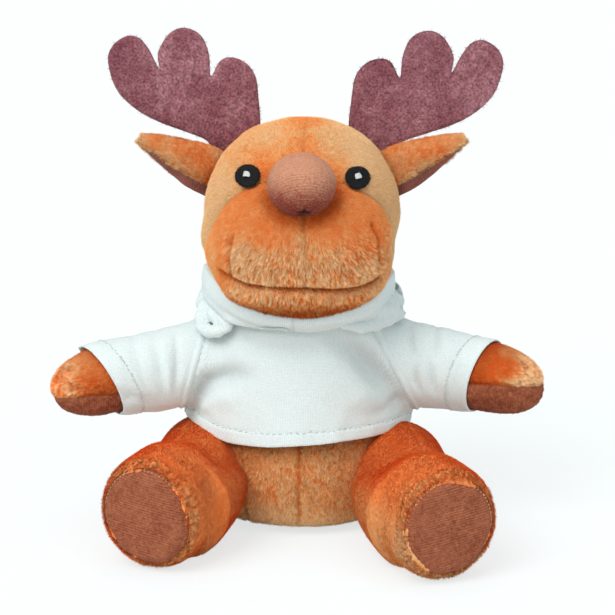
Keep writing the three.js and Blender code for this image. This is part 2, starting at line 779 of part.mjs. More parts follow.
// Where its main folds and the waves of its hem lift the top off the body
function topFold(azimuth, z) {
  const halfTurn = (Math.PI * bodyWidth) / 2;
  const fall = collarLow - hemRise;
  const rise = Math.min(1, (z - hemRise) / fall);
  const from = Math.atan2(Math.sin(azimuth), Math.cos(azimuth)) / Math.PI;
  const place = new THREE.Vector3(from * halfTurn, rise * fall, 0);
  let lift = hemWave * (1 - rise) ** 2 * Math.sin((hemWaves * azimuth) / 2) ** 2;
  for (const [u0, v0, u1, v1, wide, high] of foldShares) {
    const start = new THREE.Vector3(u0 * halfTurn, v0 * fall, 0);
    const end = new THREE.Vector3(u1 * halfTurn, v1 * fall, 0);
    const near = new THREE.Line3(start, end).closestPointToPoint(place, true, new THREE.Vector3());
    const away = near.distanceTo(place) / (foldWidth * wide);
    if (away < 1) lift += foldDepth * high * Math.cos((away * Math.PI) / 2) ** 2;
  }
  return lift * (1 - rise ** 6);
}

function topPoint(azimuth, z, layer) {
  const out = coverGap + topEase(z) + topFold(azimuth, z) + layer;
  return bodyPoint(azimuth, Math.min(z, collarLow), out).setZ(z);
}

function shellBetween(low, high, rows) {
  const layerRings = (layer) => Array.from({ length: rows + 1 }, (_, r) => {
    const z = low + ((high - low) * r) / rows;
    return ring(topSides, (a) => topPoint(a, z, layer));
  });
  return solid(closedLoop([...layerRings(jersey), ...layerRings(0).reverse()]));
}

function makeTop() {
  const armRooms = union(...sides.map((side) => armRoom(side, seamGap, [armRaise, -armLower])));
  const legRooms = union(...sides.map((side) => legRoom(side, seamGap)));
  const turnRoom = union(headRoom(seamGap), muzzleRoom(seatGap));
  const shell = shellBetween(hemRise, collarLow, topRows).subtract(armRooms).subtract(legRooms);
  const half = (sign) => block(
    bodyWidth * 2, bodyWidth, bodyHeight * 2, 0, sign * (bodyWidth / 2 + seamGap / 2), 0,
  );
  const band = shellBetween(collarLow + seamGap, collarLow + collarHeight, 3);
  return [
    piece('top_front', shell.intersect(half(-1)), whiteJersey),
    piece('top_back', shell.intersect(half(1)), whiteJersey),
    piece('collar_band', band.subtract(turnRoom), whiteJersey),
    piece('hood', makeHood().subtract(turnRoom).subtract(armRooms), whiteJersey),
  ];
}

// The hood hangs as an open pouch: an inner wall against the back, a fold below, an outer wall
function makeHood() {
  const step = 360 / topSides;
  const first = Math.round(hoodStart / step);
  const columns = topSides - 2 * first + 1;
  const fall = hoodWallShares.length - 1;
  const column = (i) => {
    const azimuth = turn((first + i) * step);
    const weight = Math.sin((Math.PI * i) / (columns - 1));
    const drop = hoodDrop * (hoodEndShare + (1 - hoodEndShare) * weight ** 1.5);
    const deep = hoodDepth * (hoodEndShare + (1 - hoodEndShare) * weight);
    const top = collarLow + hoodRise;
    const wall = (offset, lowest) => Array.from({ length: fall + 1 }, (_, k) => {
      const z = top + (lowest - top) * (k / fall);
      return topPoint(azimuth, z, jersey + hoodEase + offset * hoodWallShares[k]);
    });
    const lowest = top - drop;
    return [
      ...wall(deep + 2 * jersey, lowest - jersey),
      ...wall(0, lowest - jersey).reverse(),
      ...wall(2 * jersey, lowest + jersey),
      ...wall(deep, lowest + jersey).reverse(),
    ];
  };
  const columnsList = Array.from({ length: columns }, (_, i) => column(i));
  const count = columnsList[0].length;
  const points = columnsList.flat();
  const faces = [];
  for (let c = 0; c + 1 < columns; c += 1) {
    for (let i = 0; i < count; i += 1) {
      const j = (i + 1) % count;
      const a = c * count;
      const b = (c + 1) * count;
      faces.push(a + i, a + j, b + j, a + i, b + j, b + i);
    }
  }
  for (const start of [0, (columns - 1) * count]) {
    const flat = columnsList[start / count].map((p) => new THREE.Vector2(Math.hypot(p.x, p.y), p.z));
    const ends = THREE.ShapeUtils.triangulateShape(flat, []);
    const forward = ends.some(([a, b, c]) => [[a, b], [b, c], [c, a]].some(([i, j]) => j === i + 1));
    for (const [a, b, c] of ends) {
      if (forward === (start > 0)) faces.push(start + a, start + b, start + c);
      else faces.push(start + a, start + c, start + b);
    }
  }
  return solid(meshFrom(points, faces));
}

const deer = new THREE.Group();
deer.add(...makeBody(), ...makeHead(), ...makeNose(), ...makeEyes(), ...makeMouth());
deer.add(...makeEars(), ...makeAntlers());
for (const side of sides) deer.add(makeArm(side), makeLeg(side));
deer.add(...makeTop());

export default deer;
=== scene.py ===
"""A seated plush deer with felt antlers and a white hooded top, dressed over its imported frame.

Shapes are worked out in millimetres from implicit forms and written in metres. Every soft solid of the
frame is replaced by a stuffed or sewn piece: a skin with its seams, and a pile of blades standing on it.
"""
import json
import math

import bmesh
import bpy
import numpy as np
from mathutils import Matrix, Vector
from mathutils.geometry import delaunay_2d_cdt


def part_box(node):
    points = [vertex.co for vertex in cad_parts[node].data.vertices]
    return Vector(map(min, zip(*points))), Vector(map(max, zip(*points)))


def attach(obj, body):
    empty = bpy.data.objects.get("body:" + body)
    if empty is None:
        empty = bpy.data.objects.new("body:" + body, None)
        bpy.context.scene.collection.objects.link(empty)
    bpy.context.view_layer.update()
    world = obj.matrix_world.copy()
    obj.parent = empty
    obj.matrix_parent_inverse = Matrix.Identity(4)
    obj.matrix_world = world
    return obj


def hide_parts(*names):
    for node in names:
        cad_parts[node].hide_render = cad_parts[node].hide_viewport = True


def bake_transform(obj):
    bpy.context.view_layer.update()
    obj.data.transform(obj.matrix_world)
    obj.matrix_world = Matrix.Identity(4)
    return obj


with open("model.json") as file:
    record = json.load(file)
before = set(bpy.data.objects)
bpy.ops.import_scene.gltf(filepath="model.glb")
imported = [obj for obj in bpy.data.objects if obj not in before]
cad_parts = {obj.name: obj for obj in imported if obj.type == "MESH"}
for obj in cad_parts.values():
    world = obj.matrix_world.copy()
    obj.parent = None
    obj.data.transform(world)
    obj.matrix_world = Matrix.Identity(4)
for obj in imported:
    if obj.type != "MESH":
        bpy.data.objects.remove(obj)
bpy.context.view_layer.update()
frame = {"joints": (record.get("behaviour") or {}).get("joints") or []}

MM = 0.001
SEED = 7

# Places taken from the frame


def corners(node):
    """The box of a node of the frame."""
    low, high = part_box(node)
    return np.array(low) / MM, np.array(high) / MM


def joint_place(name):
    """Where a joint of the frame is, and its axis."""
    joint = next(j for j in frame["joints"] if j["name"] == name)
    return np.array(joint["pos_m"]) / MM, np.array(joint["axis"], float)


head_low, head_high = corners("head_skin")
SKULL = np.array([0, (head_low[1] + head_high[1]) / 2 - 1, head_high[2] - 40.5])
MUZZLE = SKULL + (0, -23, -10.5)
nose_low, nose_high = corners("nose_cover")
NOSE = np.array([0, nose_low[1] + 13.5, (nose_low[2] + nose_high[2]) / 2])
NECK, _ = joint_place("neck_turn")


class Side:
    """One side of the deer: the frame that its arm and its leg lie in."""

    def __init__(self, name, sign, splay, sleeve, slant, raglan):
        self.name, self.sign, self.sleeve, self.slant, self.raglan = name, sign, sleeve, slant, raglan
        self.shoulder, _ = joint_place(f"{name}_shoulder")
        self.hip, _ = joint_place(f"{name}_hip")
        drop, forward, turn = math.radians(5.5), math.radians(15), math.radians(splay)
        flat = math.cos(drop)
        self.arm = axes((sign * flat * math.cos(forward), -flat * math.sin(forward), -math.sin(drop)))
        self.leg = axes((sign * math.sin(turn), -math.cos(turn), 0))


def axes(along):
    """Rows are along, up and across, so that a row product gives a point in them."""
    along = unit(np.array(along, float))
    across = unit(np.cross(along, (0, 0, 1)))
    return np.array([along, np.cross(across, along), across])


def unit(v):
    return v / np.maximum(np.linalg.norm(v, axis=-1, keepdims=True), 1e-9)


# A raglan seam is a plane through two heights: its place across at the neck and at the armpit
LEFT = Side("left", -1, 11, 42.0, 0.29, ((38.5, 79), (47.5, 46)))
RIGHT = Side("right", 1, 8, 33.7, 0.115, ((30, 79), (45, 47)))
SIDES = (LEFT, RIGHT)

# Implicit forms, in millimetres


def scattered(cell, seed):
    """A whole number for each cell, in no order."""
    n = (cell[:, 0] * 73856093) ^ (cell[:, 1] * 19349663) ^ (cell[:, 2] * 83492791) ^ (seed * 2654435)
    return (n ^ (n >> 13)) * 1274126177 & 0xFFFFFFFF


def noise(p, size, seed=0):
    """Smooth value noise from -1 to 1."""
    q = p / size + 31.7 * (seed + 1)
    cell = np.floor(q).astype(np.int64)
    f = q - cell
    f = f * f * (3 - 2 * f)
    total = 0
    for corner in range(8):
        d = np.array([corner & 1, corner >> 1 & 1, corner >> 2])
        n = scattered(cell + d, seed)
        value = ((n ^ (n >> 15)) & 0xFFFF) / 32767.5 - 1
        total = total + value * np.prod(np.where(d, f, 1 - f), axis=1)
    return total


def tufts(p, size, seed=0):
    """The middle of each point's tuft, how far off it is as a share, and the tuft's own number."""
    q = p / size + 17.3 * (seed + 1)
    base = np.floor(q - 0.5).astype(np.int64)
    best, number, spot = np.full(len(p), 9.0), np.zeros(len(p)), np.zeros_like(q)
    for corner in range(8):
        c = base + np.array([corner & 1, corner >> 1 & 1, corner >> 2])
        n = scattered(c, seed)
        jitter = np.stack([n & 1023, n >> 10 & 1023, n >> 20 & 1023], 1) / 1023
        place = c + 0.5 + (jitter - 0.5) * 0.85
        gap = ((q - place) ** 2).sum(1)
        closer = gap < best
        best = np.where(closer, gap, best)
        number = np.where(closer, (n >> 7 & 4095) / 4095, number)
        spot[closer] = place[closer]
    return (spot - 17.3 * (seed + 1)) * size, np.sqrt(best), number


TUFT = 1.15


def brushed(p, centre):
    """Places drawn together along the pile, away from a centre, so that tufts come out long."""
    off = p - centre
    far = np.linalg.norm(off, axis=1, keepdims=True)
    warp = np.stack([noise(p, 2.6, 71), noise(p, 2.6, 72), noise(p, 2.6, 73)], 1)
    return off / np.maximum(far, 1) * 0.72 * np.median(far) + 0.42 * off + 0.5 * warp


def relief(p, rough, centre):
    """How high the tufts of the pile stand on its skin, and the painted shade between them."""
    _, gap, number = tufts(brushed(p, centre), TUFT)
    gap = np.clip(gap, 0, 1) ** 1.5
    mound = 0.5 - gap + 0.35 * (number - 0.5)
    # Painted shade: darker in the gaps between tufts, a little lighter overall where the pile is rough
    return mound * (0.03 + 0.50 * rough), (1 - (0.02 + 0.34 * rough) * gap) * (1 + 0.13 * rough)


def layered(p, size, seed=0):
    """Noise of three sizes."""
    fine = 0.3 * noise(p, size / 2, seed + 1) + 0.15 * noise(p, size / 4, seed + 2)
    return 0.6 * noise(p, size, seed) + fine


def egg(p, centre, radii, power=2.0):
    """About how far outside a rounded form a point lies."""
    q = np.abs((p - centre) / np.array(radii, float))
    return ((q**power).sum(1) ** (1 / power) - 1) * min(radii)


def join(a, b, k):
    """Two forms as one, with a fillet of size k."""
    h = np.clip(0.5 + 0.5 * (b - a) / k, 0, 1)
    return b * (1 - h) + a * h - k * h * (1 - h)


def smooth(t):
    """A soft step from 0 to 1."""
    t = np.clip(t, 0, 1)
    return t * t * (3 - 2 * t)


def bell(x, width):
    """One in the middle, and less with distance on both sides."""
    return np.exp(-((x / width) ** 2))


def skull(p):
    return egg(p, SKULL, (39.1, 38, 40.5), 2.25)


def muzzle(p):
    """Rounder above its middle, squarer and shorter below."""
    low = egg(p, MUZZLE, (35.9, 28, 23.6), 2.05)
    high = egg(p, MUZZLE, (36.7, 28, 35.5), 2.12)
    share = smooth((p[:, 2] - MUZZLE[2] + 6) / 12)
    return low * (1 - share) + high * share


def leant(p):
    """The lower face sits a little to the left of the crown."""
    aside = 1.6 * smooth((127 - p[:, 2]) / 12) * smooth((p[:, 2] - 106) / 10)
    return p + np.stack([aside, 0 * aside, 0 * aside], 1)


def head(p):
    return join(skull(leant(p)), muzzle(leant(p)), 3.0)


BODY_SHARES = np.array([0, 0.8, 0.96, 1, 0.93, 0.84, 0.7, 0.4, 0])
BODY_WIDTH, BODY_FRONT, BODY_BACK, BODY_TOP = 88, 42, 34, 94


def body_half(z):
    """Half the body's width at a height."""
    share = np.clip((z + 0.5) / (BODY_TOP + 0.5), 0, 1)
    place = np.arccos(1 - 2 * share) / np.pi * (len(BODY_SHARES) - 1)
    i = np.clip(place.astype(int), 0, len(BODY_SHARES) - 2)
    t = place - i
    s = BODY_SHARES
    at = lambda k: s[np.clip(k, 0, len(s) - 1)]
    m0, m1 = (at(i + 1) - at(i - 1)) / 2, (at(i + 2) - at(i)) / 2
    h = (1 + 2 * t) * (1 - t) ** 2 * at(i) + t * (1 - t) ** 2 * m0
    return (h + t * t * (3 - 2 * t) * at(i + 1) - t * t * (1 - t) * m1) * BODY_WIDTH / 2


def body(p):
    half = np.maximum(body_half(p[:, 2]), 1)
    deep = half * np.where(p[:, 1] < 0, BODY_FRONT, BODY_BACK) / (BODY_WIDTH / 2)
    return (np.hypot(p[:, 0] / half, p[:, 1] / deep) - 1) * np.minimum(half, deep)


def in_frame(p, origin, rows):
    """Places along, up and across from an origin."""
    return (p - origin) @ rows.T


ARM_LENGTH, ARM_RADIUS, HAND_RADIUS = 61, 13.2, 13.8


def arm_radius(u):
    """How thick the arm is, at a place along it."""
    taper = np.sqrt(np.clip(1 - (np.clip((u - 37) / (ARM_LENGTH - 37), 0, 1)) ** 2.3, 0, 1))
    root = np.sqrt(np.clip(1 - (np.clip(-u / 17, 0, 1)) ** 2, 0, 1))
    return (ARM_RADIUS + (HAND_RADIUS - ARM_RADIUS) * smooth(u / 36)) * taper * root


def arm(p, side):
    q = in_frame(p, side.shoulder, side.arm)
    droop = 2.2 * smooth((q[:, 0] - 36) / 25)
    r = arm_radius(q[:, 0] * (1 if side is LEFT else 1.06))
    return np.hypot(q[:, 1] + droop, q[:, 2] / 0.98) - r


HIP_RADIUS, ANKLE_RADIUS = 20.5, 18.6
SOLE_TURN, SOLE_ROLL = math.radians(11), math.radians(15)
FOOT_RISE, SOLE_HALF = 1.3, (19.3, 18.1)


def foot_place(q, side):
    """A foot's own coordinates: it turns outwards at the ankle, and its toes lean outwards."""
    c, s = math.cos(SOLE_TURN), -math.sin(SOLE_TURN) * side.sign
    u, w = q[:, 0] - 42, q[:, 2]
    along, up, across = 42 + c * u + s * w, q[:, 1], -s * u + c * w
    c, s = math.cos(SOLE_ROLL), math.sin(SOLE_ROLL) * side.sign
    return np.stack([along, c * up - s * across, s * up + c * across], 1)


def from_foot(f, side):
    """The leg's coordinates of places given in its foot's."""
    c, s = math.cos(SOLE_ROLL), math.sin(SOLE_ROLL) * side.sign
    up, across = c * f[:, 1] + s * f[:, 2], -s * f[:, 1] + c * f[:, 2]
    c, s = math.cos(SOLE_TURN), -math.sin(SOLE_TURN) * side.sign
    return np.stack([42 + c * (f[:, 0] - 42) - s * across, up, s * (f[:, 0] - 42) + c * across], 1)


def leg(p, side):
    q = in_frame(p, side.hip, side.leg)
    u = q[:, 0]
    root = np.sqrt(np.clip(1 - (np.clip(-u / HIP_RADIUS, 0, 1)) ** 2, 0, 1))
    r = (HIP_RADIUS + (ANKLE_RADIUS - HIP_RADIUS) * smooth(u / 44)) * root
    thigh = np.maximum(np.hypot(q[:, 1], q[:, 2]) - r, u - 52)
    f = foot_place(q, side)
    back = 21.5 + 20 * smooth((10 - f[:, 1]) / 16)
    front = (f[:, 0] - 56.5) / np.where(f[:, 0] > 56.5, 21.5, back)
    axial = np.where(front > 0, np.abs(front) ** 6, np.abs(front) ** 2.4)
    across = np.hypot((f[:, 1] - FOOT_RISE) / 22.4, f[:, 2] / 20.8)
    foot = ((across**2.6 + axial) ** (1 / 2.6) - 1) * 18
    foot = np.maximum(foot, (f[:, 0] - 75.5) * 0.9)
    return join(thigh, foot, 4.2 + 8.0 * smooth((13 - f[:, 1]) / 15))


def sleeve(p, side):
    q = in_frame(p, side.shoulder, side.arm)
    u = q[:, 0]
    end = 16.1 if side is LEFT else 15.0
    r = 17.2 + (end - 17.2) * smooth(u / side.sleeve)
    sag = (0.9 if side is LEFT else -0.4) * smooth(u / 20)
    return np.sqrt((q[:, 1] + sag) ** 2 + q[:, 2] ** 2 + np.minimum(u, 0) ** 2) - r


HEM, COLLAR = 39.5, 84.0


def top_ease(z):
    """How far the top hangs off the body at a height."""
    share = np.clip((z - HEM) / (COLLAR - HEM), 0, 1)
    return 2.1 + 2.4 * (1 - share) ** 3 + 5.0 * share**5


def garment(p):
    """The top with its sleeves, as one form."""
    slack = 1 - smooth((p[:, 0] - 5) / 30) * smooth((58 - p[:, 2]) / 10)
    ease = top_ease(p[:, 2]) * (0.45 + 0.55 * slack)
    torso = body(np.minimum(p, (np.inf, np.inf, COLLAR))) - ease
    arms = np.minimum(sleeve(p, LEFT), sleeve(p, RIGHT))
    return join(torso, arms, 9)


# Surfaces


def cast(field, origin, way, reach):
    """Where a ray leaves the form, for forms that each ray leaves once."""
    low = np.zeros(len(way))
    high = np.full(len(way), float(reach))
    for _ in range(24):
        middle = (low + high) / 2
        out = field(origin + way * middle[:, None]) > 0
        high = np.where(out, middle, high)
        low = np.where(out, low, middle)
    return origin + way * ((low + high) / 2)[:, None]


class Surface:
    """Points in millimetres with their faces."""

    def __init__(self, points, faces):
        self.p, self.faces = np.asarray(points, float), faces

    def triangles(self):
        out = []
        for f in self.faces:
            f = np.asarray(f)
            if len(f):
                out.append(f[:, :3])
                if f.shape[1] == 4:
                    out.append(f[:, [0, 2, 3]])
        return np.concatenate(out)

    def normals(self):
        t = self.triangles()
        n = np.cross(self.p[t[:, 1]] - self.p[t[:, 0]], self.p[t[:, 2]] - self.p[t[:, 0]])
        total = np.zeros_like(self.p)
        for c in range(3):
            for k in range(3):
                total[:, k] += np.bincount(t[:, c], n[:, k], len(self.p))
        return unit(total)

    def only(self, keep):
        """The part whose faces have all their points kept."""
        faces = [f[keep[f].all(1)] for f in self.faces]
        return Surface(self.p, faces)

    def turn_over(self):
        self.faces = [f[:, ::-1] for f in self.faces]

    def compact(self, *values):
        used = np.unique(np.concatenate([f.ravel() for f in self.faces]))
        where = np.full(len(self.p), -1)
        where[used] = np.arange(len(used))
        return Surface(self.p[used], [where[f] for f in self.faces]), [v[used] for v in values]


def wrapped(rows, columns, poles=True):
    """Faces of rows of points that close on themselves, with a point at each pole."""
    i = np.arange(rows - 1)[:, None] * columns
    j = np.arange(columns)[None]
    k = (j + 1) % columns
    quads = np.stack([i + j, i + k, i + columns + k, i + columns + j], -1).reshape(-1, 4)
    if not poles:
        return [quads]
    first, last = rows * columns, rows * columns + 1
    top = (rows - 1) * columns
    caps = np.concatenate([
        np.stack([np.full(columns, first), k[0], j[0]], -1),
        np.stack([np.full(columns, last), top + j[0], top + k[0]], -1),
    ])
    return [quads, caps]


def lattice(rows, columns):
    """Faces of an open sheet of rows of points."""
    i = np.arange(rows - 1)[:, None] * columns
    j = np.arange(columns - 1)[None]
    quads = np.stack([i + j, i + j + 1, i + columns + j + 1, i + columns + j], -1).reshape(-1, 4)
    return [quads]


def closed_form(field, start, end, step, around, reach, cap=34.0):
    """A closed skin over a form, cast out from a spine. Its rows are about step apart."""
    start, end = np.array(start, float), np.array(end, float)
    length = max(np.linalg.norm(end - start), 1e-6)
    along = (end - start) / length
    side = unit(np.cross(along, (0.0, 1.0, 0.01)))
    other = np.cross(along, side)
    total = length + 2 * cap
    rows = int(total / step)
    t = (np.arange(rows) + 0.5) / rows * total
    angle = np.where(t < cap, np.pi - t / cap * np.pi / 2, np.pi / 2)
    angle = np.where(t > cap + length, (total - t) / cap * np.pi / 2, angle)
    origin = start + along * np.clip(t - cap, 0, length)[:, None]
    theta = 2 * np.pi * np.arange(around) / around
    ring = np.cos(theta)[:, None] * side + np.sin(theta)[:, None] * other
    way = along * np.cos(angle)[:, None, None] + ring[None] * np.sin(angle)[:, None, None]
    origins = np.repeat(origin[:, None], around, 1).reshape(-1, 3)
    way = way.reshape(-1, 3)
    origins = np.concatenate([origins, [start, end]])
    way = np.concatenate([way, [-along, along]])
    surface = Surface(cast(field, origins, way, reach), wrapped(rows, around))
    if np.einsum("ij,ij->i", surface.normals(), way).mean() < 0:
        surface.turn_over()
    return surface


def mesh_of(surface, name, **values):
    """A mesh in metres, with an attribute for each set of values."""
    mesh = bpy.data.meshes.new(name)
    mesh.vertices.add(len(surface.p))
    mesh.vertices.foreach_set("co", (surface.p * MM).astype(np.float32).ravel())
    faces = [f for f in surface.faces if len(f)]
    loops = np.concatenate([f.ravel() for f in faces]).astype(np.int32)
    sizes = np.concatenate([np.full(len(f), f.shape[1]) for f in faces])
    mesh.loops.add(len(loops))
    mesh.loops.foreach_set("vertex_index", loops)
    mesh.polygons.add(len(sizes))
    mesh.polygons.foreach_set("loop_start", np.concatenate([[0], np.cumsum(sizes)[:-1]]).astype(np.int32))
    mesh.polygons.foreach_set("use_smooth", np.ones(len(sizes), bool))
    for key, value in values.items():
        value = np.asarray(value, np.float32)
        kind = "FLOAT" if value.ndim == 1 else "FLOAT_VECTOR"
        attribute = mesh.attributes.new(key, kind, "POINT")
        attribute.data.foreach_set("value" if value.ndim == 1 else "vector", value.ravel())
    mesh.update(calc_edges=True)
    return mesh


def linked(name, data):
    thing = bpy.data.objects.new(name, data)
    bpy.context.scene.collection.objects.link(thing)
    return thing


def piece(surface, name, material, slot, **values):
    """A visible piece made of the points that its faces use."""
    surface, kept = surface.compact(*[np.asarray(v) for v in values.values()])
    mesh = mesh_of(surface, name, **dict(zip(values, kept)))
    mesh.materials.append(material)
    thing = linked(name, mesh)
    return thing


# How many blades stand on each piece, how wide they are, and how far up a blade a bare skin counts as
BLADES = {"head": 120000, "body": 100000, "arm": 46000, "palm": 20000, "leg": 120000, "ear": 24000,
          "antler": 9000}
BLADE_WIDTH = 0.25
# The skin takes the painted shade of a blade's lower part
SKIN_TIP = 0.3


def stuffed(surface, name, material, slot, nodes, fill, **values):
    """A piece in the place of nodes of the frame, which it hides."""
    thing = piece(surface, name, material, slot, **values)
    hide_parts(*nodes)
    return thing


def fur_skin(surface, name, nodes, fill, nap, shade):
    """The skin that a pile stands on."""
    tip = np.full(len(surface.p), SKIN_TIP)
    return stuffed(surface, name, FUR, "fur", nodes, fill, nap=nap, tip=tip, shade=shade)


def blades(surface, name, count, length, width, way, centre, nap, ruffle, shade, seed, where=None,
           material=("fur", None)):
    """A pile: tapered blades that root in a skin and lean the way that it is brushed."""
    rng = np.random.default_rng(SEED + seed)
    tri = surface.triangles()
    if where is not None:
        tri = tri[where[tri].all(1)]
    a, b, c = (surface.p[tri[:, k]] for k in range(3))
    area = np.linalg.norm(np.cross(b - a, c - a), axis=1)
    pick = rng.choice(len(tri), count, p=area / area.sum())
    r = rng.random((count, 2))
    r = np.where(r.sum(1, keepdims=True) > 1, 1 - r, r)
    share = np.stack([1 - r.sum(1), r[:, 0], r[:, 1]], 1)
    at = lambda v: np.einsum("ij,ij...->i...", share, v[tri[pick]])
    p, n = at(surface.p), unit(at(surface.normals()))
    t = at(way)
    rough = np.clip(at(ruffle), 0, 1)[:, None]
    bend = np.stack([noise(p, 2.2, seed + k) for k in range(3)], 1)
    long = brushed(p, centre)
    middle, gap, number = tufts(long, TUFT)
    gap = np.clip(gap, 0, 1) ** 1.5
    wild = rng.normal(size=(count, 3)) * 0.16
    t = t + bend * (0.05 + 0.55 * rough) + wild
    t = unit(t - n * np.einsum("ij,ij->i", t, n)[:, None])
    lean = np.radians(66 - 26 * rough[:, 0] + rng.normal(size=count) * 7)[:, None]
    length = np.full(len(surface.p), length) if np.ndim(length) == 0 else length
    reach = (at(length) * (0.62 + 0.5 * rng.random(count)))[:, None] * (0.75 + 0.5 * rough)
    root = p - n * 0.12
    tip = p + (n * np.cos(lean) + t * np.sin(lean)) * reach
    toward = middle - long
    toward -= n * np.einsum("ij,ij->i", toward, n)[:, None]
    tip += toward * (0.05 + 0.40 * rough)
    across = unit(np.cross(n, t) + wild) * (width * (0.35 + 0.3 * rng.random(count)))[:, None]
    points = np.stack([root - across, root + across, tip], 1).reshape(-1, 3)
    faces = np.arange(3 * count).reshape(-1, 3)
    flip = np.einsum("ij,ij->i", np.cross(2 * across, tip - root), n) < 0
    faces[flip] = faces[flip][:, ::-1]
    rough = rough[:, 0]
    tone = at(nap) + rng.normal(size=count) * 0.09 + (number - 0.5) * (0.03 + 0.40 * rough)
    # Painted shade: blades in the gaps between tufts are deeper orange
    tone += 0.22 * rough - (0.03 + 0.78 * rough) * gap + (0.06 + 0.30 * rough) * noise(p, 1.5, seed + 5)
    tone = np.repeat(tone, 3)
    other = (number * 7.3) % 1 - 0.5
    dark = at(shade) * (1 + rng.normal(size=count) * 0.07 + other * (0.02 + 0.22 * rough))
    # Painted shade: blades are darker in the gaps between tufts, most at their roots
    deep = dark * (1 - (0.03 + 0.42 * rough) * gap)
    dark = np.stack([deep, deep, dark * (1 - 0.22 * rough * gap)], 1).ravel()
    height = np.tile([0.0, 0.0, 1.0], count)
    slot, shader = material
    return piece(Surface(points, [faces]), name, shader or FUR, slot, nap=tone, tip=height, shade=dark)


# Materials


class Nodes:
    """A short way to write the nodes of a new material, or those of a tree."""

    def __init__(self, name=None, tree=None):
        if name:
            self.material = bpy.data.materials.new(name)
            self.material.use_nodes = True
        self.tree = tree or self.material.node_tree
        self.tree.nodes.clear()

    def add(self, kind, inputs=None, **settings):
        node = self.tree.nodes.new("ShaderNode" + kind)
        for key, value in settings.items():
            setattr(node, key, value)
        for key, value in (inputs or {}).items():
            self.set(node, key, value)
        return node

    def set(self, node, key, value):
        socket = node.inputs[key]
        if isinstance(value, bpy.types.NodeSocket):
            self.tree.links.new(value, socket)
        else:
            socket.default_value = value

    def ramp(self, value, *stops):
        node = self.add("ValToRGB", {"Fac": value})
        while len(node.color_ramp.elements) < len(stops):
            node.color_ramp.elements.new(0.5)
        for element, (place, colour) in zip(node.color_ramp.elements, stops):
            element.position = place
            element.color = (*colour, 1) if hasattr(colour, "__len__") else (colour, colour, colour, 1)
        return node.outputs["Color"]

    def attribute(self, name, output="Fac"):
        return self.add("Attribute", attribute_name=name).outputs[output]

    def place(self):
        return self.add("TexCoord").outputs["Object"]

    def noise(self, size, detail=2.0, vector=None, output="Fac"):
        node = self.add("TexNoise", {"Scale": 1 / (size * MM), "Detail": detail})
        self.set(node, "Vector", vector or self.place())
        return node.outputs[output]

    def math(self, operation, a, b):
        return self.add("Math", {0: a, 1: b}, operation=operation).outputs[0]

    def mix(self, kind, factor, a, b):
        node = self.add("Mix", data_type="RGBA", blend_type=kind)
        for socket, value in ((node.inputs[0], factor), (node.inputs[6], a), (node.inputs[7], b)):
            if isinstance(value, bpy.types.NodeSocket):
                self.tree.links.new(value, socket)
            elif socket.type == "RGBA":
                socket.default_value = (*value, 1) if hasattr(value, "__len__") else (value, value, value, 1)
            else:
                socket.default_value = value
        return node.outputs[2]

    def bump(self, height, strength, depth):
        node = self.add("Bump", {"Height": height, "Strength": strength, "Distance": depth * MM})
        return node.outputs["Normal"]

    def tone(self, size, detail, amount):
        """The piece's own nap, mottled."""
        mottled = self.math("MULTIPLY", self.math("SUBTRACT", self.noise(size, detail), 0.5), amount)
        return self.math("ADD", self.attribute("nap"), mottled)

    def shaded(self, colour, powers=(1.0, 1.0, 1.0)):
        """The colour in the piece's own shade, whose power says how much each part of the colour loses."""
        shade = self.add("CombineColor")
        for key, power in zip(("Red", "Green", "Blue"), powers):
            self.set(shade, key, self.math("POWER", self.attribute("shade"), power))
        return self.mix("MULTIPLY", 1.0, colour, shade.outputs[0])

    def bands(self, direction, scale, distortion, **inputs):
        """Ribs or wales that follow the piece's own threads."""
        inputs |= {"Scale": scale, "Distortion": distortion, "Vector": self.attribute("thread", "Vector")}
        return self.add("TexWave", inputs, bands_direction=direction).outputs["Fac"]

    def finish(self, colour, normal=None, roughness=0.85, specular=0.25, sheen=0.0, sheen_tint=(1, 1, 1)):
        shader = self.add("BsdfPrincipled", {
            "Base Color": colour, "Roughness": roughness, "Specular IOR Level": specular,
            "Sheen Weight": sheen, "Sheen Roughness": 0.45, "Sheen Tint": (*sheen_tint, 1),
        })
        if normal is not None:
            self.set(shader, "Normal", normal)
        self.add("OutputMaterial", {"Surface": shader.outputs[0]})
        return self.material


# How close the ribs of the velour, and the wales and courses of the knit, lie
RIB_SCALE, WALE, COURSE = 0.33, 0.68, 0.55


def fur_material():
    n = Nodes("fur")
    colour = n.ramp(
        n.tone(2.6, 3, 0.45), (0.0, (0.88, 0.175, 0.028)), (0.34, (0.92, 0.31, 0.082)),
        (0.66, (0.93, 0.45, 0.165)), (1.0, (0.92, 0.60, 0.31)),
    )
    # Painted shade down in the pile: a blade is darker near its root
    depth = n.ramp(n.attribute("tip"), (0.0, (0.70, 0.60, 0.54)), (0.45, (0.95, 0.92, 0.90)), (1.0, 1.0))
    colour = n.mix("MULTIPLY", 1.0, colour, depth)
    colour = n.shaded(colour, (1.0, 1.25, 1.6))
    grain = n.bump(n.noise(0.55, 3), 0.7, 0.25)
    return n.finish(colour, grain, 0.85, 0.12, 0.10, (1.0, 0.70, 0.48))


def velour_material(name, dark, light, mottled=1.4):
    n = Nodes(name)
    colour = n.shaded(n.ramp(n.tone(0.9, 4, mottled), (0.0, dark), (1.0, light)))
    ribs = n.bands("X", RIB_SCALE, 1.6, **{"Detail": 2.0, "Detail Scale": 3.0})
    height = n.math("ADD", ribs, n.noise(0.45, 3))
    return n.finish(colour, n.bump(height, 0.6, 0.25), 0.88, 0.12, 0.10, (1.0, 0.8, 0.72))


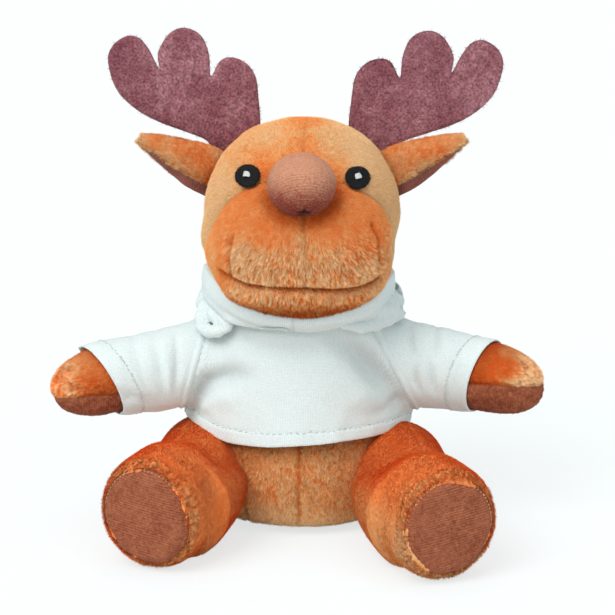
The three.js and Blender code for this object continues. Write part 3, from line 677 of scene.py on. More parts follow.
def felt_material():
    n = Nodes("felt")
    colour = n.ramp(n.attribute("nap"), (0.0, (0.21, 0.060, 0.078)), (0.5, (0.285, 0.102, 0.120)),
                    (1.0, (0.43, 0.195, 0.22)))
    fibre = n.noise(0.9, 5)
    colour = n.mix("OVERLAY", 0.85, colour, n.ramp(fibre, (0.32, 0.22), (0.68, 0.78)))
    return n.finish(colour, n.bump(fibre, 0.8, 0.3), 0.95, 0.1, 0.2, (1.0, 0.85, 0.88))


def jersey_material():
    n = Nodes("jersey")
    wales = n.bands("X", math.pi / 10 / WALE, 0.35, Detail=1.0)
    rows = n.bands("Y", math.pi / 10 / COURSE, 0.5, Detail=1.0)
    knit = n.math("ADD", wales, n.math("MULTIPLY", rows, 0.8))
    colour = n.ramp(knit, (0.0, (0.655, 0.75, 0.735)), (1.0, (0.80, 0.87, 0.855)))
    dots = n.ramp(n.noise(0.7, 2), (0.35, 0.95), (0.65, 1.03))
    colour = n.shaded(n.mix("MULTIPLY", 1.0, colour, dots))
    return n.finish(colour, n.bump(knit, 0.5, 0.14), 0.9, 0.15, 0.1)


def thread_material(name, colour, roughness=0.55):
    n = Nodes(name)
    grain = n.noise(0.25, 2)
    shaded = n.mix("MULTIPLY", 1.0, n.ramp(grain, (0.3, 0.75), (0.7, 1.0)), colour)
    return n.finish(shaded, n.bump(grain, 0.4, 0.1), roughness, 0.25)


FUR = fur_material()
NOSE_VELOUR = velour_material("nose_velour", (0.285, 0.045, 0.029), (0.63, 0.295, 0.178), 1.5)
SOLE_VELOUR = velour_material("sole_velour", (0.23, 0.056, 0.026), (0.44, 0.15, 0.075))
EAR_VELOUR = velour_material("ear_velour", (0.20, 0.06, 0.045), (0.36, 0.13, 0.10))
FELT = felt_material()
JERSEY = jersey_material()
BLACK = thread_material("black_thread", (0.008, 0.007, 0.008), 0.7)
WHITE = thread_material("white_thread", (0.80, 0.80, 0.79))
BROWN = thread_material("brown_thread", (0.20, 0.055, 0.03), 0.8)
SEWING = thread_material("sewing_thread", (0.74, 0.81, 0.795))
TAN_THREAD = thread_material("tan_thread", (0.76, 0.52, 0.31))

# Seams and stitches


def run(line):
    """How far along a line each of its places lies."""
    return np.concatenate([[0], np.cumsum(np.linalg.norm(np.diff(line, axis=0), axis=1))])


def between(t, places, values):
    """Rows of values at t, from the places of the known rows."""
    return np.stack([np.interp(t, places, values[:, k]) for k in range(values.shape[1])], 1)


def thread_tube(centre, side, up, radii, around):
    """The points round a thread, and its faces."""
    theta = 2 * np.pi * np.arange(around) / around
    ring = side[:, None] * np.cos(theta)[None, :, None] + up[:, None] * np.sin(theta)[None, :, None]
    points = (centre[:, None] + ring * radii[:, None, None]).reshape(-1, 3)
    return points, wrapped(len(centre), around, poles=False)[0]


def to_front(field, flat):
    """Points given by their place across and up, cast forwards on to a form."""
    origin = np.stack([flat[:, 0], np.full(len(flat), -6.0), flat[:, 1]], 1)
    return cast(field, origin, np.tile((0.0, -1.0, 0.0), (len(flat), 1)), 70.0)


def onto(field, flat):
    """A line given across and up, laid on the front of a form as points 0.3 mm apart."""
    flat = np.array(flat, float)
    length = run(flat)
    return to_front(field, between(np.linspace(0, length[-1], max(int(length[-1] / 0.3), 2)), length, flat))


def distance(p, line):
    """How far points are from a line, where they are near it."""
    out = np.full(len(p), 1e9)
    low, high = line.min(0) - 6, line.max(0) + 6
    near = np.flatnonzero(((p > low) & (p < high)).all(1))
    for part in np.array_split(near, max(len(near) // 20000, 1)):
        out[part] = np.sqrt(((p[part][:, None] - line[None, ::2]) ** 2).sum(2).min(1))
    return out


def groove(p, n, line, width, depth):
    """How far a seam pulls a skin in, and a weight for how near it is, which callers use for the groove's
    painted shade and more.
    """
    pull = bell(distance(p, line), width)
    return -n * (pull * depth)[:, None], pull


def stitches(name, line, normals, material, slot, length, gap, radius, rise=0.0, seed=0, sink=0.3):
    """Short threads laid end to end along a line: each dips into the cloth at both ends."""
    rng = np.random.default_rng(SEED + 50 + seed)
    far = run(line)
    points, faces, start = [], [], 0.0
    shares = np.array([0, 0.12, 0.35, 0.65, 0.88, 1])
    swell = np.array([0.25, 0.85, 1, 1, 0.85, 0.25])
    while start + length < far[-1]:
        s = start + shares * length * (1 + 0.08 * rng.normal())
        centre, up = between(s, far, line), unit(between(s, far, normals))
        way = unit(np.gradient(centre, axis=0))
        side = unit(np.cross(way, up))
        lift = rise + radius * 0.5 - sink * (1 - np.sin(np.pi * shares) ** 0.5)
        centre = centre + up * lift[:, None] + side * rng.normal() * radius * 0.25
        tube, quads = thread_tube(centre, side, up, radius * swell, 6)
        faces.append(quads + len(points) * len(tube))
        points.append(tube)
        start += length + gap
    surface = Surface(np.concatenate(points), [np.concatenate(faces)])
    return piece(surface, name, material, slot)


# The head


MOUTH = [(-31.8, 110.2), (-26.4, 108.0), (-20.5, 106.5), (-12, 106.2), (1.9, 105.9), (13.5, 104.9),
         (22.1, 105.0), (27.6, 106.3), (31.2, 108.1)]
NOSE_SEAM = [(0.6, 136), (0.8, 130), (1.2, 121.8), (1.5, 106.4)]
LEFT_DART = [(-26.8, 125), (-27.9, 117.2), (-27.2, 109)]
RIGHT_DART = [(27.3, 129.4), (29.9, 123.4), (29.9, 115)]
CROWN = [(1.6, 163.5), (1.4, 160), (0.6, 155)]


def head_pieces():
    """Two skins and piles, the face's seams and the stitched mouth."""
    form = closed_form(head, SKULL + (0, -10, 4), SKULL + (0, -10, -6), 0.62, 330, 80, 36)
    p, n = form.p, form.normals()
    between_forms = skull(leant(p)) - muzzle(leant(p))
    seam = bell(between_forms, 1.5) * smooth((p[:, 2] - 96) / 8)
    lines = [onto(head, line) for line in (MOUTH, NOSE_SEAM, LEFT_DART, RIGHT_DART, CROWN)]
    moved, mouth = groove(p, n, lines[0], 1.35, 2.8)
    mouth *= 1 - 0.8 * bell(p[:, 0] + 13.5, 2.0)
    pull = moved
    marks = [mouth]
    for line, width, depth in zip(lines[1:], (1.0, 1.1, 1.3, 1.2), (0.8, 1.7, 1.3, 0.5)):
        moved, mark = groove(p, n, line, width, depth)
        pull = pull + moved
        marks.append(mark * 0.6)
    # The lower lip rolls out a little under the mouth
    under = smooth((104.5 - p[:, 2]) / 3) * smooth((p[:, 2] - 96) / 6) * smooth((-p[:, 1] - 38) / 8)
    lumps = layered(p, 17, 3) * 0.75 + noise(p, 6, 5) * 0.22
    p = p + pull + n * (lumps + under * 1.3 - seam * 1.1)[:, None]
    x, y, z = p.T
    on_muzzle = between_forms > 0
    patch = layered(p, 13, 11)
    nap_skull = 0.92 + 0.34 * patch - 0.42 * bell(x - 1, 8) * smooth((z - 148) / 9)
    nap_skull -= 0.40 * np.exp(-(((x + 17) / 9) ** 2 + ((z - 151) / 7) ** 2))
    nap_skull -= 0.42 * bell(between_forms + 1.0, 3.0) * smooth((24 - np.abs(x)) / 10) * (y < -8)
    nap_skull += 0.14 * smooth((np.abs(x) - 26) / 8) + 0.60 * smooth((x - 16) / 10)
    ragged = 3.4 * layered(p, 9, 13) + 1.6 * noise(p, 3.5, 14)
    edge = 131.5 + 1.6 * bell(x, 2.6) - 2.0 * bell(np.abs(x) - 9, 6) + ragged
    low_front = smooth((edge - z) / 15) * smooth((x + 33 + 0.6 * ragged) / 7) * smooth((38 - x + ragged) / 9)
    nap_muzzle = 0.34 + 0.18 * patch + 0.60 * low_front
    nap_muzzle += 0.35 * np.exp(-(((x + 23) / 3.2) ** 2 + ((z - 120) / 5) ** 2))
    nap_muzzle += 0.22 * bell(x, 3.0) * smooth((133 - z) / 8) * (1 - low_front)
    nap_muzzle -= 0.35 * np.exp(-(((x - 22) / 7) ** 2 + ((z - 119) / 5) ** 2))
    nap_muzzle += 0.25 * smooth((np.abs(x) - 31) / 4) * smooth((126 - z) / 8)
    below = smooth((104 - z) / 7)
    nap_muzzle = nap_muzzle * (1 - below) + (0.58 - 0.5 * smooth((101 - z) / 9)) * below
    darts = np.maximum(marks[2], marks[3])
    # Painted shade: the mouth and darts are deeper orange in their grooves
    nap = np.where(on_muzzle, nap_muzzle - 0.75 * mouth - 0.7 * darts, nap_skull)
    ruffle = np.clip(np.where(on_muzzle, 0.10 + 0.9 * low_front + 0.35 * below, 0.22 + 0.25 * patch), 0, 1)
    sewn = np.maximum(bell(distance(p, lines[0]), 2.1), 0.8 * darts)
    ruffle *= 1 - 0.7 * sewn
    mound, crevice_shade = relief(p, ruffle, NOSE)
    form.p = p = p + n * mound[:, None]
    # Painted shade in the mouth, the seams, the darts and the crease round the muzzle
    shade = 1 - 0.50 * mouth - 0.12 * sum(marks[1:]) - 0.30 * darts - 0.08 * seam
    # Painted shade under the jaw, darker lower down, times the tufts' painted shade
    shade = (shade - 0.44 * smooth((102 - z) / 9)) * crevice_shade
    # Painted shadow of the nose on the muzzle below it: deeper orange and darker
    nose_shadow = bell(np.linalg.norm(p - NOSE, axis=1) - 14.5, 3.2) * smooth((NOSE[2] - z) / 7)
    nap -= 0.3 * nose_shadow
    shade -= 0.26 * nose_shadow
    # The pale front of the muzzle is made lighter; the right side of the skull, away from the key lamp, gets
    # painted shade
    shade += on_muzzle * (0.04 + 0.18 * low_front * (1 - below)) - 0.05 * smooth((x - 24) / 8) * ~on_muzzle
    way = unit(p - NOSE) * 0.7 + (0, 0.25, -0.55)
    pieces = []
    halves = (("head_skin_fur", ~on_muzzle, ("head_skin", "head_stuffing"), 21),
              ("muzzle_skin_fur", on_muzzle, ("muzzle_panel",), 22))
    for name, keep, nodes, seed in halves:
        grown = keep.copy()
        for f in form.faces:
            touched = keep[f].any(1)
            grown[f[touched].ravel()] = True
        part = form.only(grown)
        skin = fur_skin(part, name, nodes, 0.85, nap, shade)
        coat = blades(form, name.replace("skin_fur", "pile"), BLADES["head"], 1.5 - 1.1 * sewn, BLADE_WIDTH,
                      way, NOSE, nap, ruffle, shade, seed, where=keep & (z > 88))
        pieces += [skin, coat]
    thread = lines[0]
    mouth_line = stitches("mouth_thread", thread, np.tile((0.0, -1.0, 0.1), (len(thread), 1)), BROWN,
                          "brown_thread", 3.8, 0.9, 0.30, rise=-2.55, seed=1)
    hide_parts("mouth_stitching")
    pieces.append(mouth_line)
    for thing in pieces:
        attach(thing, "head")


def nose_piece():
    pinch = unit(np.array([0.08, -0.60, -0.80]))
    field = lambda p: egg(p, NOSE, (13.3, 13.4, 12.0), 2.05)
    form = closed_form(field, NOSE + pinch * 0.5, NOSE - pinch * 0.5, 0.34, 250, 40, 20)
    p = form.p
    way = unit(p - NOSE)
    polar = np.arccos(np.clip(way @ pinch, -1, 1))
    side = unit(np.cross(pinch, (0, 1, 0)))
    around = np.arctan2(way @ np.cross(pinch, side), way @ side)
    close = bell(polar, 0.42)
    fold = np.sin(around * 7 + 0.6) * 0.45 + np.sin(around * 11 + 2) * 0.25
    ribs = np.sin(polar * 13.6 * 2 * np.pi / 1.15 + 1.6 * noise(p, 5, 3))
    out = -1.9 * bell(polar, 0.17) + fold * close * (1 - bell(polar, 0.1))
    out += 0.10 * ribs * (1 - close) + 0.08 * noise(p, 1.0, 6) + 0.35 * noise(p, 9, 7)
    form.p = p + way * out[:, None]
    # Painted light and shade: the ball is paler on top, darker and deeper red underneath and in its pucker
    lift = smooth((form.p[:, 2] - NOSE[2] + 9) / 17)
    nap = 0.02 + 0.92 * lift + 0.1 * noise(p, 4, 9) + 0.12 * ribs
    shade = 1 - 0.45 * bell(polar, 0.2) - 0.15 * close - 0.25 * (1 - lift) ** 2
    thread = np.stack([polar * 13.6, around * 4, np.zeros(len(p))], 1)
    ball = stuffed(form, "nose_ball", NOSE_VELOUR, "velour", ("nose_cover", "nose_stuffing"), 0.95,
                   nap=nap, shade=shade, thread=thread)
    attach(ball, "head")


def eye_pieces(side):
    """Satin stitch: threads fan out from the middle over the pile, with a few white ones on top."""
    rng = np.random.default_rng(SEED + 90 + (side is RIGHT))
    x0, z0 = (-20.9, 146.2) if side is LEFT else (21.6, 145.5)
    lean = -0.24 * side.sign
    names = {"": (BLACK, "black_thread"), "_highlight": (WHITE, "white_thread")}
    for part, (material, slot_name) in names.items():
        points, faces = [], []
        bright = part == "_highlight"
        count = 26 if bright else 420
        for k in range(count):
            if bright:
                offset = (k / (count - 1) - 0.5) * 1.5
                a = np.array([-1.4 + 0.3 * rng.random(), offset])
                b = np.array([1.3 - 0.3 * rng.random() - 0.5 * max(offset, 0), offset + 0.15])
                a, b = a + (0, 0.25), b + (0, 0.25)
            else:
                angle = 2 * np.pi * (k + rng.random()) / count
                inner = 0.03 + 0.55 * rng.random()
                outer = 1.0 + rng.normal() * 0.02
                wide = np.array([4.8, 3.95])
                a = np.array([np.cos(angle), np.sin(angle)]) * inner * wide
                bend = angle + rng.normal() * 0.10
                b = np.array([np.cos(bend), np.sin(bend)]) * outer * wide
            a, b = a + (lean * a[1], 0), b + (lean * b[1], 0)
            t = np.linspace(0, 1, 6)[:, None]
            flat = a + (b - a) * t + (x0, z0)
            base = to_front(head, flat)
            out = unit(base - SKULL)
            height = 0.55 + 0.54 * np.sin(np.pi * t[:, 0]) ** 0.6 + rng.random() * 0.25
            centre = base + out * (height + 0.55 * bright)[:, None]
            way = unit(np.gradient(centre, axis=0))
            across = unit(np.cross(way, out))
            tube, quads = thread_tube(centre, across, out, 0.19 * np.array([0.5, 1, 1, 1, 1, 0.4]), 5)
            faces.append(quads + len(points) * len(tube))
            points.append(tube)
        name = f"{side.name}_eye{part}"
        threads = Surface(np.concatenate(points), [np.concatenate(faces)])
        patch = piece(threads, f"{name}_threads", material, slot_name)
        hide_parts(name)
        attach(patch, "head")


# Body, arms and legs


def on_floor(surface, low=0.25):
    """Whatever would sink is pressed flat on the floor."""
    z = surface.p[:, 2]
    surface.p[:, 2] = np.where(z < low + 0.6, low + 0.6 * np.exp((z - low - 0.6) / 2.5), z)


def tucked(p):
    """How far the body is drawn in where the top hides it, which leaves room for the top's folds."""
    return 4.6 * smooth((p[:, 2] - HEM - 7) / 9)


FRONT_SEAM = [(-1.0, 52), (-1.2, 30), (-1.0, 6)]
SIDE_DART = [(-23.5, 14), (-22.6, 8), (-22.0, 3)]


def body_pieces():
    form = closed_form(body, (0, -3, 26), (0, -3, 64), 0.68, 330, 80, 40)
    p, n = form.p, form.normals()
    pull, marks = 0, []
    for line, depth in ((FRONT_SEAM, 1.0), (SIDE_DART, 0.6)):
        moved, mark = groove(p, n, onto(body, line), 0.9, depth)
        pull = pull + moved
        marks.append(mark)
    pucker = np.sin(p[:, 2] * 2 * np.pi / 2.6) * bell(p[:, 0] + 1, 3.5) * (p[:, 1] < 0) * 0.18
    rough = np.clip(0.75 + 0.3 * layered(p, 12, 39) - 0.25 * smooth((12 - p[:, 2]) / 8), 0, 1)
    top = np.array([0, 0, 60.0])
    mound, crevice_shade = relief(p, rough, top)
    form.p = p + pull + n * (layered(p, 15, 31) * 0.6 + mound + pucker - tucked(p))[:, None]
    on_floor(form)
    p = form.p
    nap = 0.76 + 0.22 * layered(p, 11, 35) + 0.28 * smooth((16 - p[:, 2]) / 12)
    nap -= 0.2 * smooth((np.abs(p[:, 0]) - 22) / 8)
    tufted = 0.5 + 0.5 * np.sin(p[:, 2] * 2 * np.pi / 2.6)
    nap += (0.30 * tufted - 0.08) * bell(p[:, 0] + 1, 1.7) * (p[:, 1] < 0)
    # Painted shade: the front seam is deeper orange and darker, the side dart darker, and the belly darker up
    # under the top's hem
    nap -= 0.6 * marks[0] + 0.10 * smooth((p[:, 0] - 16) / 8)
    shade = (1.04 - 0.14 * marks[0] - 0.2 * marks[1] - 0.20 * smooth((p[:, 2] - 28) / 9)) * crevice_shade
    way = 0.35 * np.stack([noise(p, 9, 36), 0 * p[:, 0], noise(p, 9, 37)], 1) + (0.0, -0.25, -1.0)
    skin = fur_skin(form, "body_skin_fur", ("body_skin", "body_stuffing"), 0.8, nap, shade)
    shown = (p[:, 2] < 46) & (p[:, 2] > 1.2)
    coat = blades(form, "body_pile", BLADES["body"], 1.5, BLADE_WIDTH, way, top, nap, rough, shade, 38,
                  where=shown)
    for thing in (skin, coat):
        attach(thing, "body")


# The cuff's edge leans with CUFF_TILT across the arm. Its stitches lie CUFF_HEM behind the edge
CUFF_TILT, CUFF_HEM = 0.265, 8.2


def cut_cuff(q, side):
    """How far beyond the sleeve's slanted edge a point of the arm lies. The edge is drawn back in front."""
    return q[:, 0] - side.sleeve - side.slant * q[:, 1] + CUFF_TILT * side.sign * q[:, 2]


def arm_tucked(u):
    """How far the arm is drawn in where the sleeve hides it."""
    return 1.8 * smooth((30 - u) / 8) + 3.8 * smooth((15 - u) / 9)


def arm_pieces(side):
    left = side is LEFT
    at = lambda u: side.shoulder + side.arm[0] * u
    form = closed_form(lambda p: arm(p, side), at(-2), at(40), 0.50, 170, 40, 20)
    p, n = form.p, form.normals()
    q = in_frame(p, side.shoulder, side.arm)
    seam_at = (-3.4 if left else 0.6) + 1.2 * np.sin((q[:, 0] - 34) / 9)
    seam = bell(q[:, 1] - seam_at, 0.9) * (q[:, 0] > 20)
    palm = smooth((seam_at - 0.2 - q[:, 1]) / 0.8)
    u, v = q[:, 0], q[:, 1]
    tip = smooth((u - 47) / 9) if left else smooth((u - 43.5) / 8)
    upper = smooth((v / np.maximum(arm_radius(u * (1 if left else 1.06)), 2) - 0.74) / 0.2)
    ruffle = np.clip(0.15 + 0.75 * tip + 0.6 * bell(v + 1.0, 4.0), 0, 1)
    mound, crevice_shade = relief(p, ruffle, at(10))
    form.p = p + n * (layered(p, 10, 41 + left) * 0.45 + mound - 0.9 * seam - arm_tucked(u))[:, None]
    if left:
        nap = 0.24 + 0.26 * layered(p, 8, 44) + 0.4 * tip + 0.35 * bell(v - 9, 4) * smooth((u - 40) / 8)
    else:
        nap = -0.06 + 0.2 * layered(p, 8, 45) + 1.1 * tip + 0.7 * upper * smooth((u - 36) / 5)
        nap += 0.7 * bell(v - seam_at - 1.2, 1.7) * smooth((u - 39) / 6)
    # Painted light and shade: the hand's tip lighter, as if lit through its pile; darker in the seam and up
    # under the cuff
    shade = (1.04 + 0.36 * tip - 0.22 * seam - 0.12 * smooth((38 - u) / 5)) * crevice_shade
    way = np.tile(side.arm[0] + (0, 0, -0.55), (len(p), 1))
    name = f"{side.name}_arm"
    skin = fur_skin(form, f"{name}_fur", (f"{name}_skin", f"{name}_stuffing"), 0.8, nap, shade)
    shown = (cut_cuff(q, side) > -5) & (palm < 0.25)
    coat = blades(form, f"{name}_pile", BLADES["arm"], 1.5, BLADE_WIDTH, way, at(10), nap, ruffle, shade, 46,
                  where=shown)
    fuzz = 0.14 * noise(p, 1.0, 47) + 0.10 * noise(p, 2.2, 49)
    pad_form = Surface(form.p + n * (0.85 * palm - 0.5 + np.maximum(fuzz, -0.12))[:, None], form.faces)
    pad_form = pad_form.only((palm > 0.02) & (u > 20))
    tone = 0.40 + 0.3 * layered(p, 5, 48) + 2.2 * fuzz - 0.2 * smooth((-v - 9) / 4)
    # Painted shade in the seam
    shade = 1.26 - 0.25 * seam
    pad = stuffed(pad_form, f"{side.name}_palm_velour", SOLE_VELOUR, "velour", (f"{side.name}_palm",), 0.7,
                  nap=tone, shade=shade, thread=np.stack([u, q[:, 2], v], 1))
    pad_pile = blades(pad_form, f"{side.name}_palm_pile", BLADES["palm"], 0.8, 0.2, way, at(10), tone,
                      0 * u + 0.3, shade, 64, where=(palm > 0.6) & (u > 26), material=("velour", SOLE_VELOUR))
    for thing in (skin, coat, pad, pad_pile):
        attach(thing, name)


def leg_pieces(side):
    left = side is LEFT
    name = f"{side.name}_leg"
    at = lambda u: side.hip + side.leg[0] * u
    form = closed_form(lambda p: leg(p, side), at(2), at(52), 0.62, 210, 60, 30)
    p, n = form.p, form.normals()
    q = in_frame(p, side.hip, side.leg)
    f = foot_place(q, side)
    along, up, across = f.T
    ankle = bell(along - 41.5 - 0.10 * up, 1.9) * smooth((up - 7) / 8)
    rim = np.hypot((up - FOOT_RISE) / 21.4, across / 19.8)
    front = smooth((along - 71) / 3)
    edge = bell(rim - 1.0, 0.07) * front
    thigh_seam = bell(q[:, 2] + side.sign * 5.0, 1.0) * smooth((q[:, 1] - 5) / 5)
    thigh_seam *= (q[:, 0] < 41) & (q[:, 0] > 4)
    foot = smooth((along - 41) / (5 + 18 * smooth((10 - up) / 12)))
    patch = layered(p, 10, 55 + left)
    ruffle = np.clip(0.02 + (0.16 + 0.3 * patch) * foot + 0.9 * smooth((along - 68.5) / 3.5), 0, 1)
    mound, crevice_shade = relief(p, ruffle, at(-30))
    lumps = noise(p, 17, 51 + left) * 0.7 + noise(p, 9, 54) * 0.15 + mound
    turn = np.arctan2(up, across)
    pucker = np.sin(turn * 44) * 0.22 * bell(rim - 1.1, 0.14) * front
    form.p = p + n * (lumps - 0.7 * ankle - 0.4 * thigh_seam + pucker)[:, None]
    form.p -= side.leg[0] * (edge * 0.7)[:, None]
    on_floor(form)
    p = form.p
    inner = smooth((4 - up + side.sign * 0.2 * across) / 14)
    nap = (0.14 + 0.16 * patch) * (1 - foot) + (0.30 + 0.26 * patch) * foot + (0.14 if left else 0.44) * inner
    fringe = bell(along - 72.5 + 1.2 * noise(p, 4, 63), 1.8) * smooth((rim - 0.75) / 0.3)
    nap += (0.26 + 0.4 * layered(p, 5, 62)) * fringe
    # Painted shade: the ankle's crease is deeper orange
    nap += 0.25 * thigh_seam - 0.15 * ankle
    if not left:
        nap += 0.35 * np.exp(-(((along - 52) / 6) ** 2 + ((turn - 2.2) / 0.5) ** 2))
    # Painted shade in the ankle's crease and near the floor
    shade = 1.0 + 0.04 * fringe + 0.08 * foot - 0.14 * ankle + 0.03 * thigh_seam
    shade = (shade - 0.10 * smooth((8 - p[:, 2]) / 7)) * crevice_shade
    toward = -(side.leg[1] * up[:, None] + side.leg[2] * across[:, None]) / 20
    way = side.leg[0] * (1 - 0.6 * front[:, None]) + toward * front[:, None] * 1.2 + (0, 0, -0.45)
    skin = fur_skin(form, f"{name}_fur", (f"{name}_skin", f"{name}_stuffing"), 0.85, nap, shade)
    shown = (p[:, 2] > 1.3) & (q[:, 0] > -12) & ~((rim < 0.85) & (along > 72))
    coat = blades(form, f"{name}_pile", BLADES["leg"], 1.4, BLADE_WIDTH, way, at(-30), nap, ruffle, shade, 56,
                  where=shown)
    for thing in (skin, coat):
        tuple(at(-16) * MM)
        tuple(at(14) * MM)
        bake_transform(thing)


def sole_pieces(side):
    """A velour disc let into the rim of the foot, and the stitches beside it."""
    rings, around = 56, 220
    r = (np.arange(rings) + 1) / rings
    a = 2 * np.pi * np.arange(around) / around
    rr, aa = np.repeat(r, around), np.tile(a, rings)
    wob = 1 + 0.012 * np.sin(aa * 3 + 1) + 0.008 * np.sin(aa * 7)
    v, w = SOLE_HALF[0] * rr * np.sin(aa) * wob, SOLE_HALF[1] * rr * np.cos(aa) * wob
    high = 76.6 + 0.9 * (1 - rr**2) - 2.0 * smooth((rr - 0.84) / 0.16)
    v, w, high, rr = (np.append(x, y) for x, y in ((v, 0), (w, 0), (high, 77.5), (rr, 0)))
    points = side.hip + from_foot(np.stack([high, v + FOOT_RISE, w], 1), side) @ side.leg
    k = np.arange(around)
    faces = wrapped(rings, around, poles=False) + [
        np.stack([np.full(around, rings * around), k, (k + 1) % around], -1)]
    disc = Surface(points, faces)
    if disc.normals()[:, 1].mean() > 0:
        disc.turn_over()
    fuzz = layered(points, 9, 57) * 0.35 + 0.09 * noise(points, 0.9, 58)
    disc.p = points + disc.normals() * fuzz[:, None]
    tilt = 0.42 * side.sign
    thread = np.stack([v * math.cos(tilt) + w * math.sin(tilt), w, v], 1)
    ribs = np.sin(thread[:, 0] * 2 * np.pi / 1.05 + 1.2 * noise(points, 3, 60))
    disc.p += disc.normals() * (0.045 * ribs * (rr < 0.93))[:, None]
    tone = 0.42 + 0.3 * layered(points, 6, 59) + 0.3 * noise(points, 0.9, 61) + 0.22 * ribs
    # The disc gets painted shade at its rim, where it meets the foot's fur
    sole = stuffed(disc, f"{side.name}_sole_velour", SOLE_VELOUR, "velour", (f"{side.name}_sole",), 0.7,
                   nap=tone, shade=1.06 - 0.35 * smooth((rr - 0.95) / 0.05), thread=thread)
    arc = np.radians(np.linspace(*((25, 150) if side is LEFT else (20, 170)), 120))
    edge = np.stack([np.full(120, 75.5), 18.3 * np.sin(arc) + FOOT_RISE, 17.1 * np.cos(arc)], 1)
    line = side.hip + from_foot(edge, side) @ side.leg
    sewn = stitches(f"{side.name}_sole_stitches", line, np.tile(side.leg[0], (120, 1)), TAN_THREAD, "fur",
                    0.9, 0.7, 0.17, rise=0.1, seed=5)
    for thing in (sole, sewn):
        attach(thing, f"{side.name}_leg")


# Ears and antlers

EAR_LENGTH, EAR_HEIGHT, EAR_DEPTH, EAR_LIFT = 33, 21, 9, 27
EAR_SHARES = np.array([0.98, 1.0, 0.86, 0.70, 0.50, 0.20])


def along_table(table, share):
    """The table's value at a share of its length."""
    place = np.clip(share, 0, 1) * (len(table) - 1)
    return np.interp(place, np.arange(len(table)), table)


def smooth_table(table, share, times=3):
    """The table's values with their corners rounded."""
    total = sum(along_table(table, share + d) for d in np.linspace(-0.07, 0.07, 2 * times + 1))
    return total / (2 * times + 1)


def ear_layer(side, inset, thick, start, stop, rows, columns):
    """A curved strip of cloth: outer face out and inner face back, closed round its edges."""
    pivot, _ = joint_place(f"{side.name}_ear_flop")
    lift = math.radians(EAR_LIFT)
    along = np.array([side.sign * math.cos(lift), 0, math.sin(lift)])
    up = np.array([-side.sign * math.sin(lift), 0, math.cos(lift)])
    share = np.linspace(-0.04, 1, rows)
    angle = np.radians(np.linspace(start, stop, columns))
    half = smooth_table(EAR_SHARES, share) * EAR_HEIGHT / 2
    swell = np.sin(np.pi * np.clip(0.2 + 0.8 * share, 0, 1))
    deep = EAR_DEPTH / 2 * (0.5 + 0.6 * swell)
    faces_out = []
    for offset in (inset, inset + thick):
        edge = np.minimum(np.arange(columns), np.arange(columns)[::-1]) / 3.0
        roundness = 1 - np.sqrt(np.clip(1 - (1 - np.clip(edge, 0, 1)) ** 2, 0, 1))
        shift = offset + (thick / 2) * roundness * (1 if offset == inset else -1)
        back = np.maximum(deep[:, None] - shift, 0.25) * np.cos(angle)[None]
        rise = np.maximum(half[:, None] - shift, 0.25) * np.sin(angle)[None]
        far = (share * EAR_LENGTH)[:, None] + 0 * rise
        point = pivot + far[..., None] * along + rise[..., None] * up
        point[..., 1] += back
        faces_out.append(point.reshape(-1, 3))
    outer, inner = faces_out
    points = np.concatenate([outer, inner])
    quad = lattice(rows, columns)[0]
    count = rows * columns
    i = np.arange(rows - 1) * columns
    rims = []
    for c in (0, columns - 1):
        rims.append(np.stack([i + c, i + columns + c, count + i + columns + c, count + i + c], -1))
    j = (rows - 1) * columns + np.arange(columns - 1)
    rims.append(np.stack([j, j + 1, count + j + 1, count + j], -1))
    grid_share = np.tile(np.repeat(share, columns), 2)
    grid_angle = np.tile(np.tile(np.degrees(angle), rows), 2)
    surface = Surface(points, [np.concatenate([quad, quad[:, ::-1] + count, *rims])])
    return surface, grid_share, grid_angle, count


def ear_pieces(side):
    back, share, angle, count = ear_layer(side, 0, 1.3, -52, 198, 80, 150)
    n = back.normals()
    middle = back.p[:count].mean(0)
    if ((back.p[:count] - middle) * n[:count]).sum() < 0:
        back.turn_over()
        n = -n
    p = back.p = back.p + n * (layered(back.p, 8, 61) * 0.35 + noise(back.p, 1.3, 62) * 0.12)[:, None]
    outside = np.arange(len(p)) < count
    lip = np.minimum(np.abs(angle - 198), np.abs(angle + 52))
    fringe = bell(lip, 16)
    nap = 0.58 + 0.35 * layered(p, 6, 63) + 0.5 * fringe * (share > 0.05) + 0.3 * smooth((share - 0.8) / 0.2)
    # Painted shade on the inner face and towards the root
    shade = np.where(outside, 1.12, 0.8) - 0.2 * smooth((0.12 - share) / 0.12)
    ruffle = np.clip(0.35 + 0.7 * fringe, 0, 1)
    pivot, _ = joint_place(f"{side.name}_ear_flop")
    way = unit(p - pivot) + 0.35 * fringe[:, None] * np.array([0, -0.4, -0.9])
    skin = fur_skin(back, f"{side.name}_ear_fur", (f"{side.name}_ear_back",), 0.3, nap, shade)
    coat = blades(back, f"{side.name}_ear_pile", BLADES["ear"], 1.5, BLADE_WIDTH, way, pivot, nap, ruffle,
                  shade, 64, where=outside | (lip < 12))
    lining, share, angle, count = ear_layer(side, 1.45, 1.0, 160, 332, 60, 90)
    n = lining.normals()
    if ((lining.p[:count] - middle) * n[:count]).sum() < 0:
        lining.turn_over()
        n = -n
    p = lining.p = lining.p + n * (layered(lining.p, 6, 65) * 0.25 + noise(lining.p, 0.8, 66) * 0.06)[:, None]
    # The lining gets painted shade towards its root
    inner = stuffed(lining, f"{side.name}_ear_velour", EAR_VELOUR, "ear_velour", (f"{side.name}_ear_lining",),
                    0.2, nap=0.5 + 0.4 * layered(p, 5, 67), shade=0.95 - 0.3 * smooth((0.15 - share) / 0.15),
                    thread=p - pivot)
    for thing in (skin, coat, inner):
        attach(thing, f"{side.name}_ear")


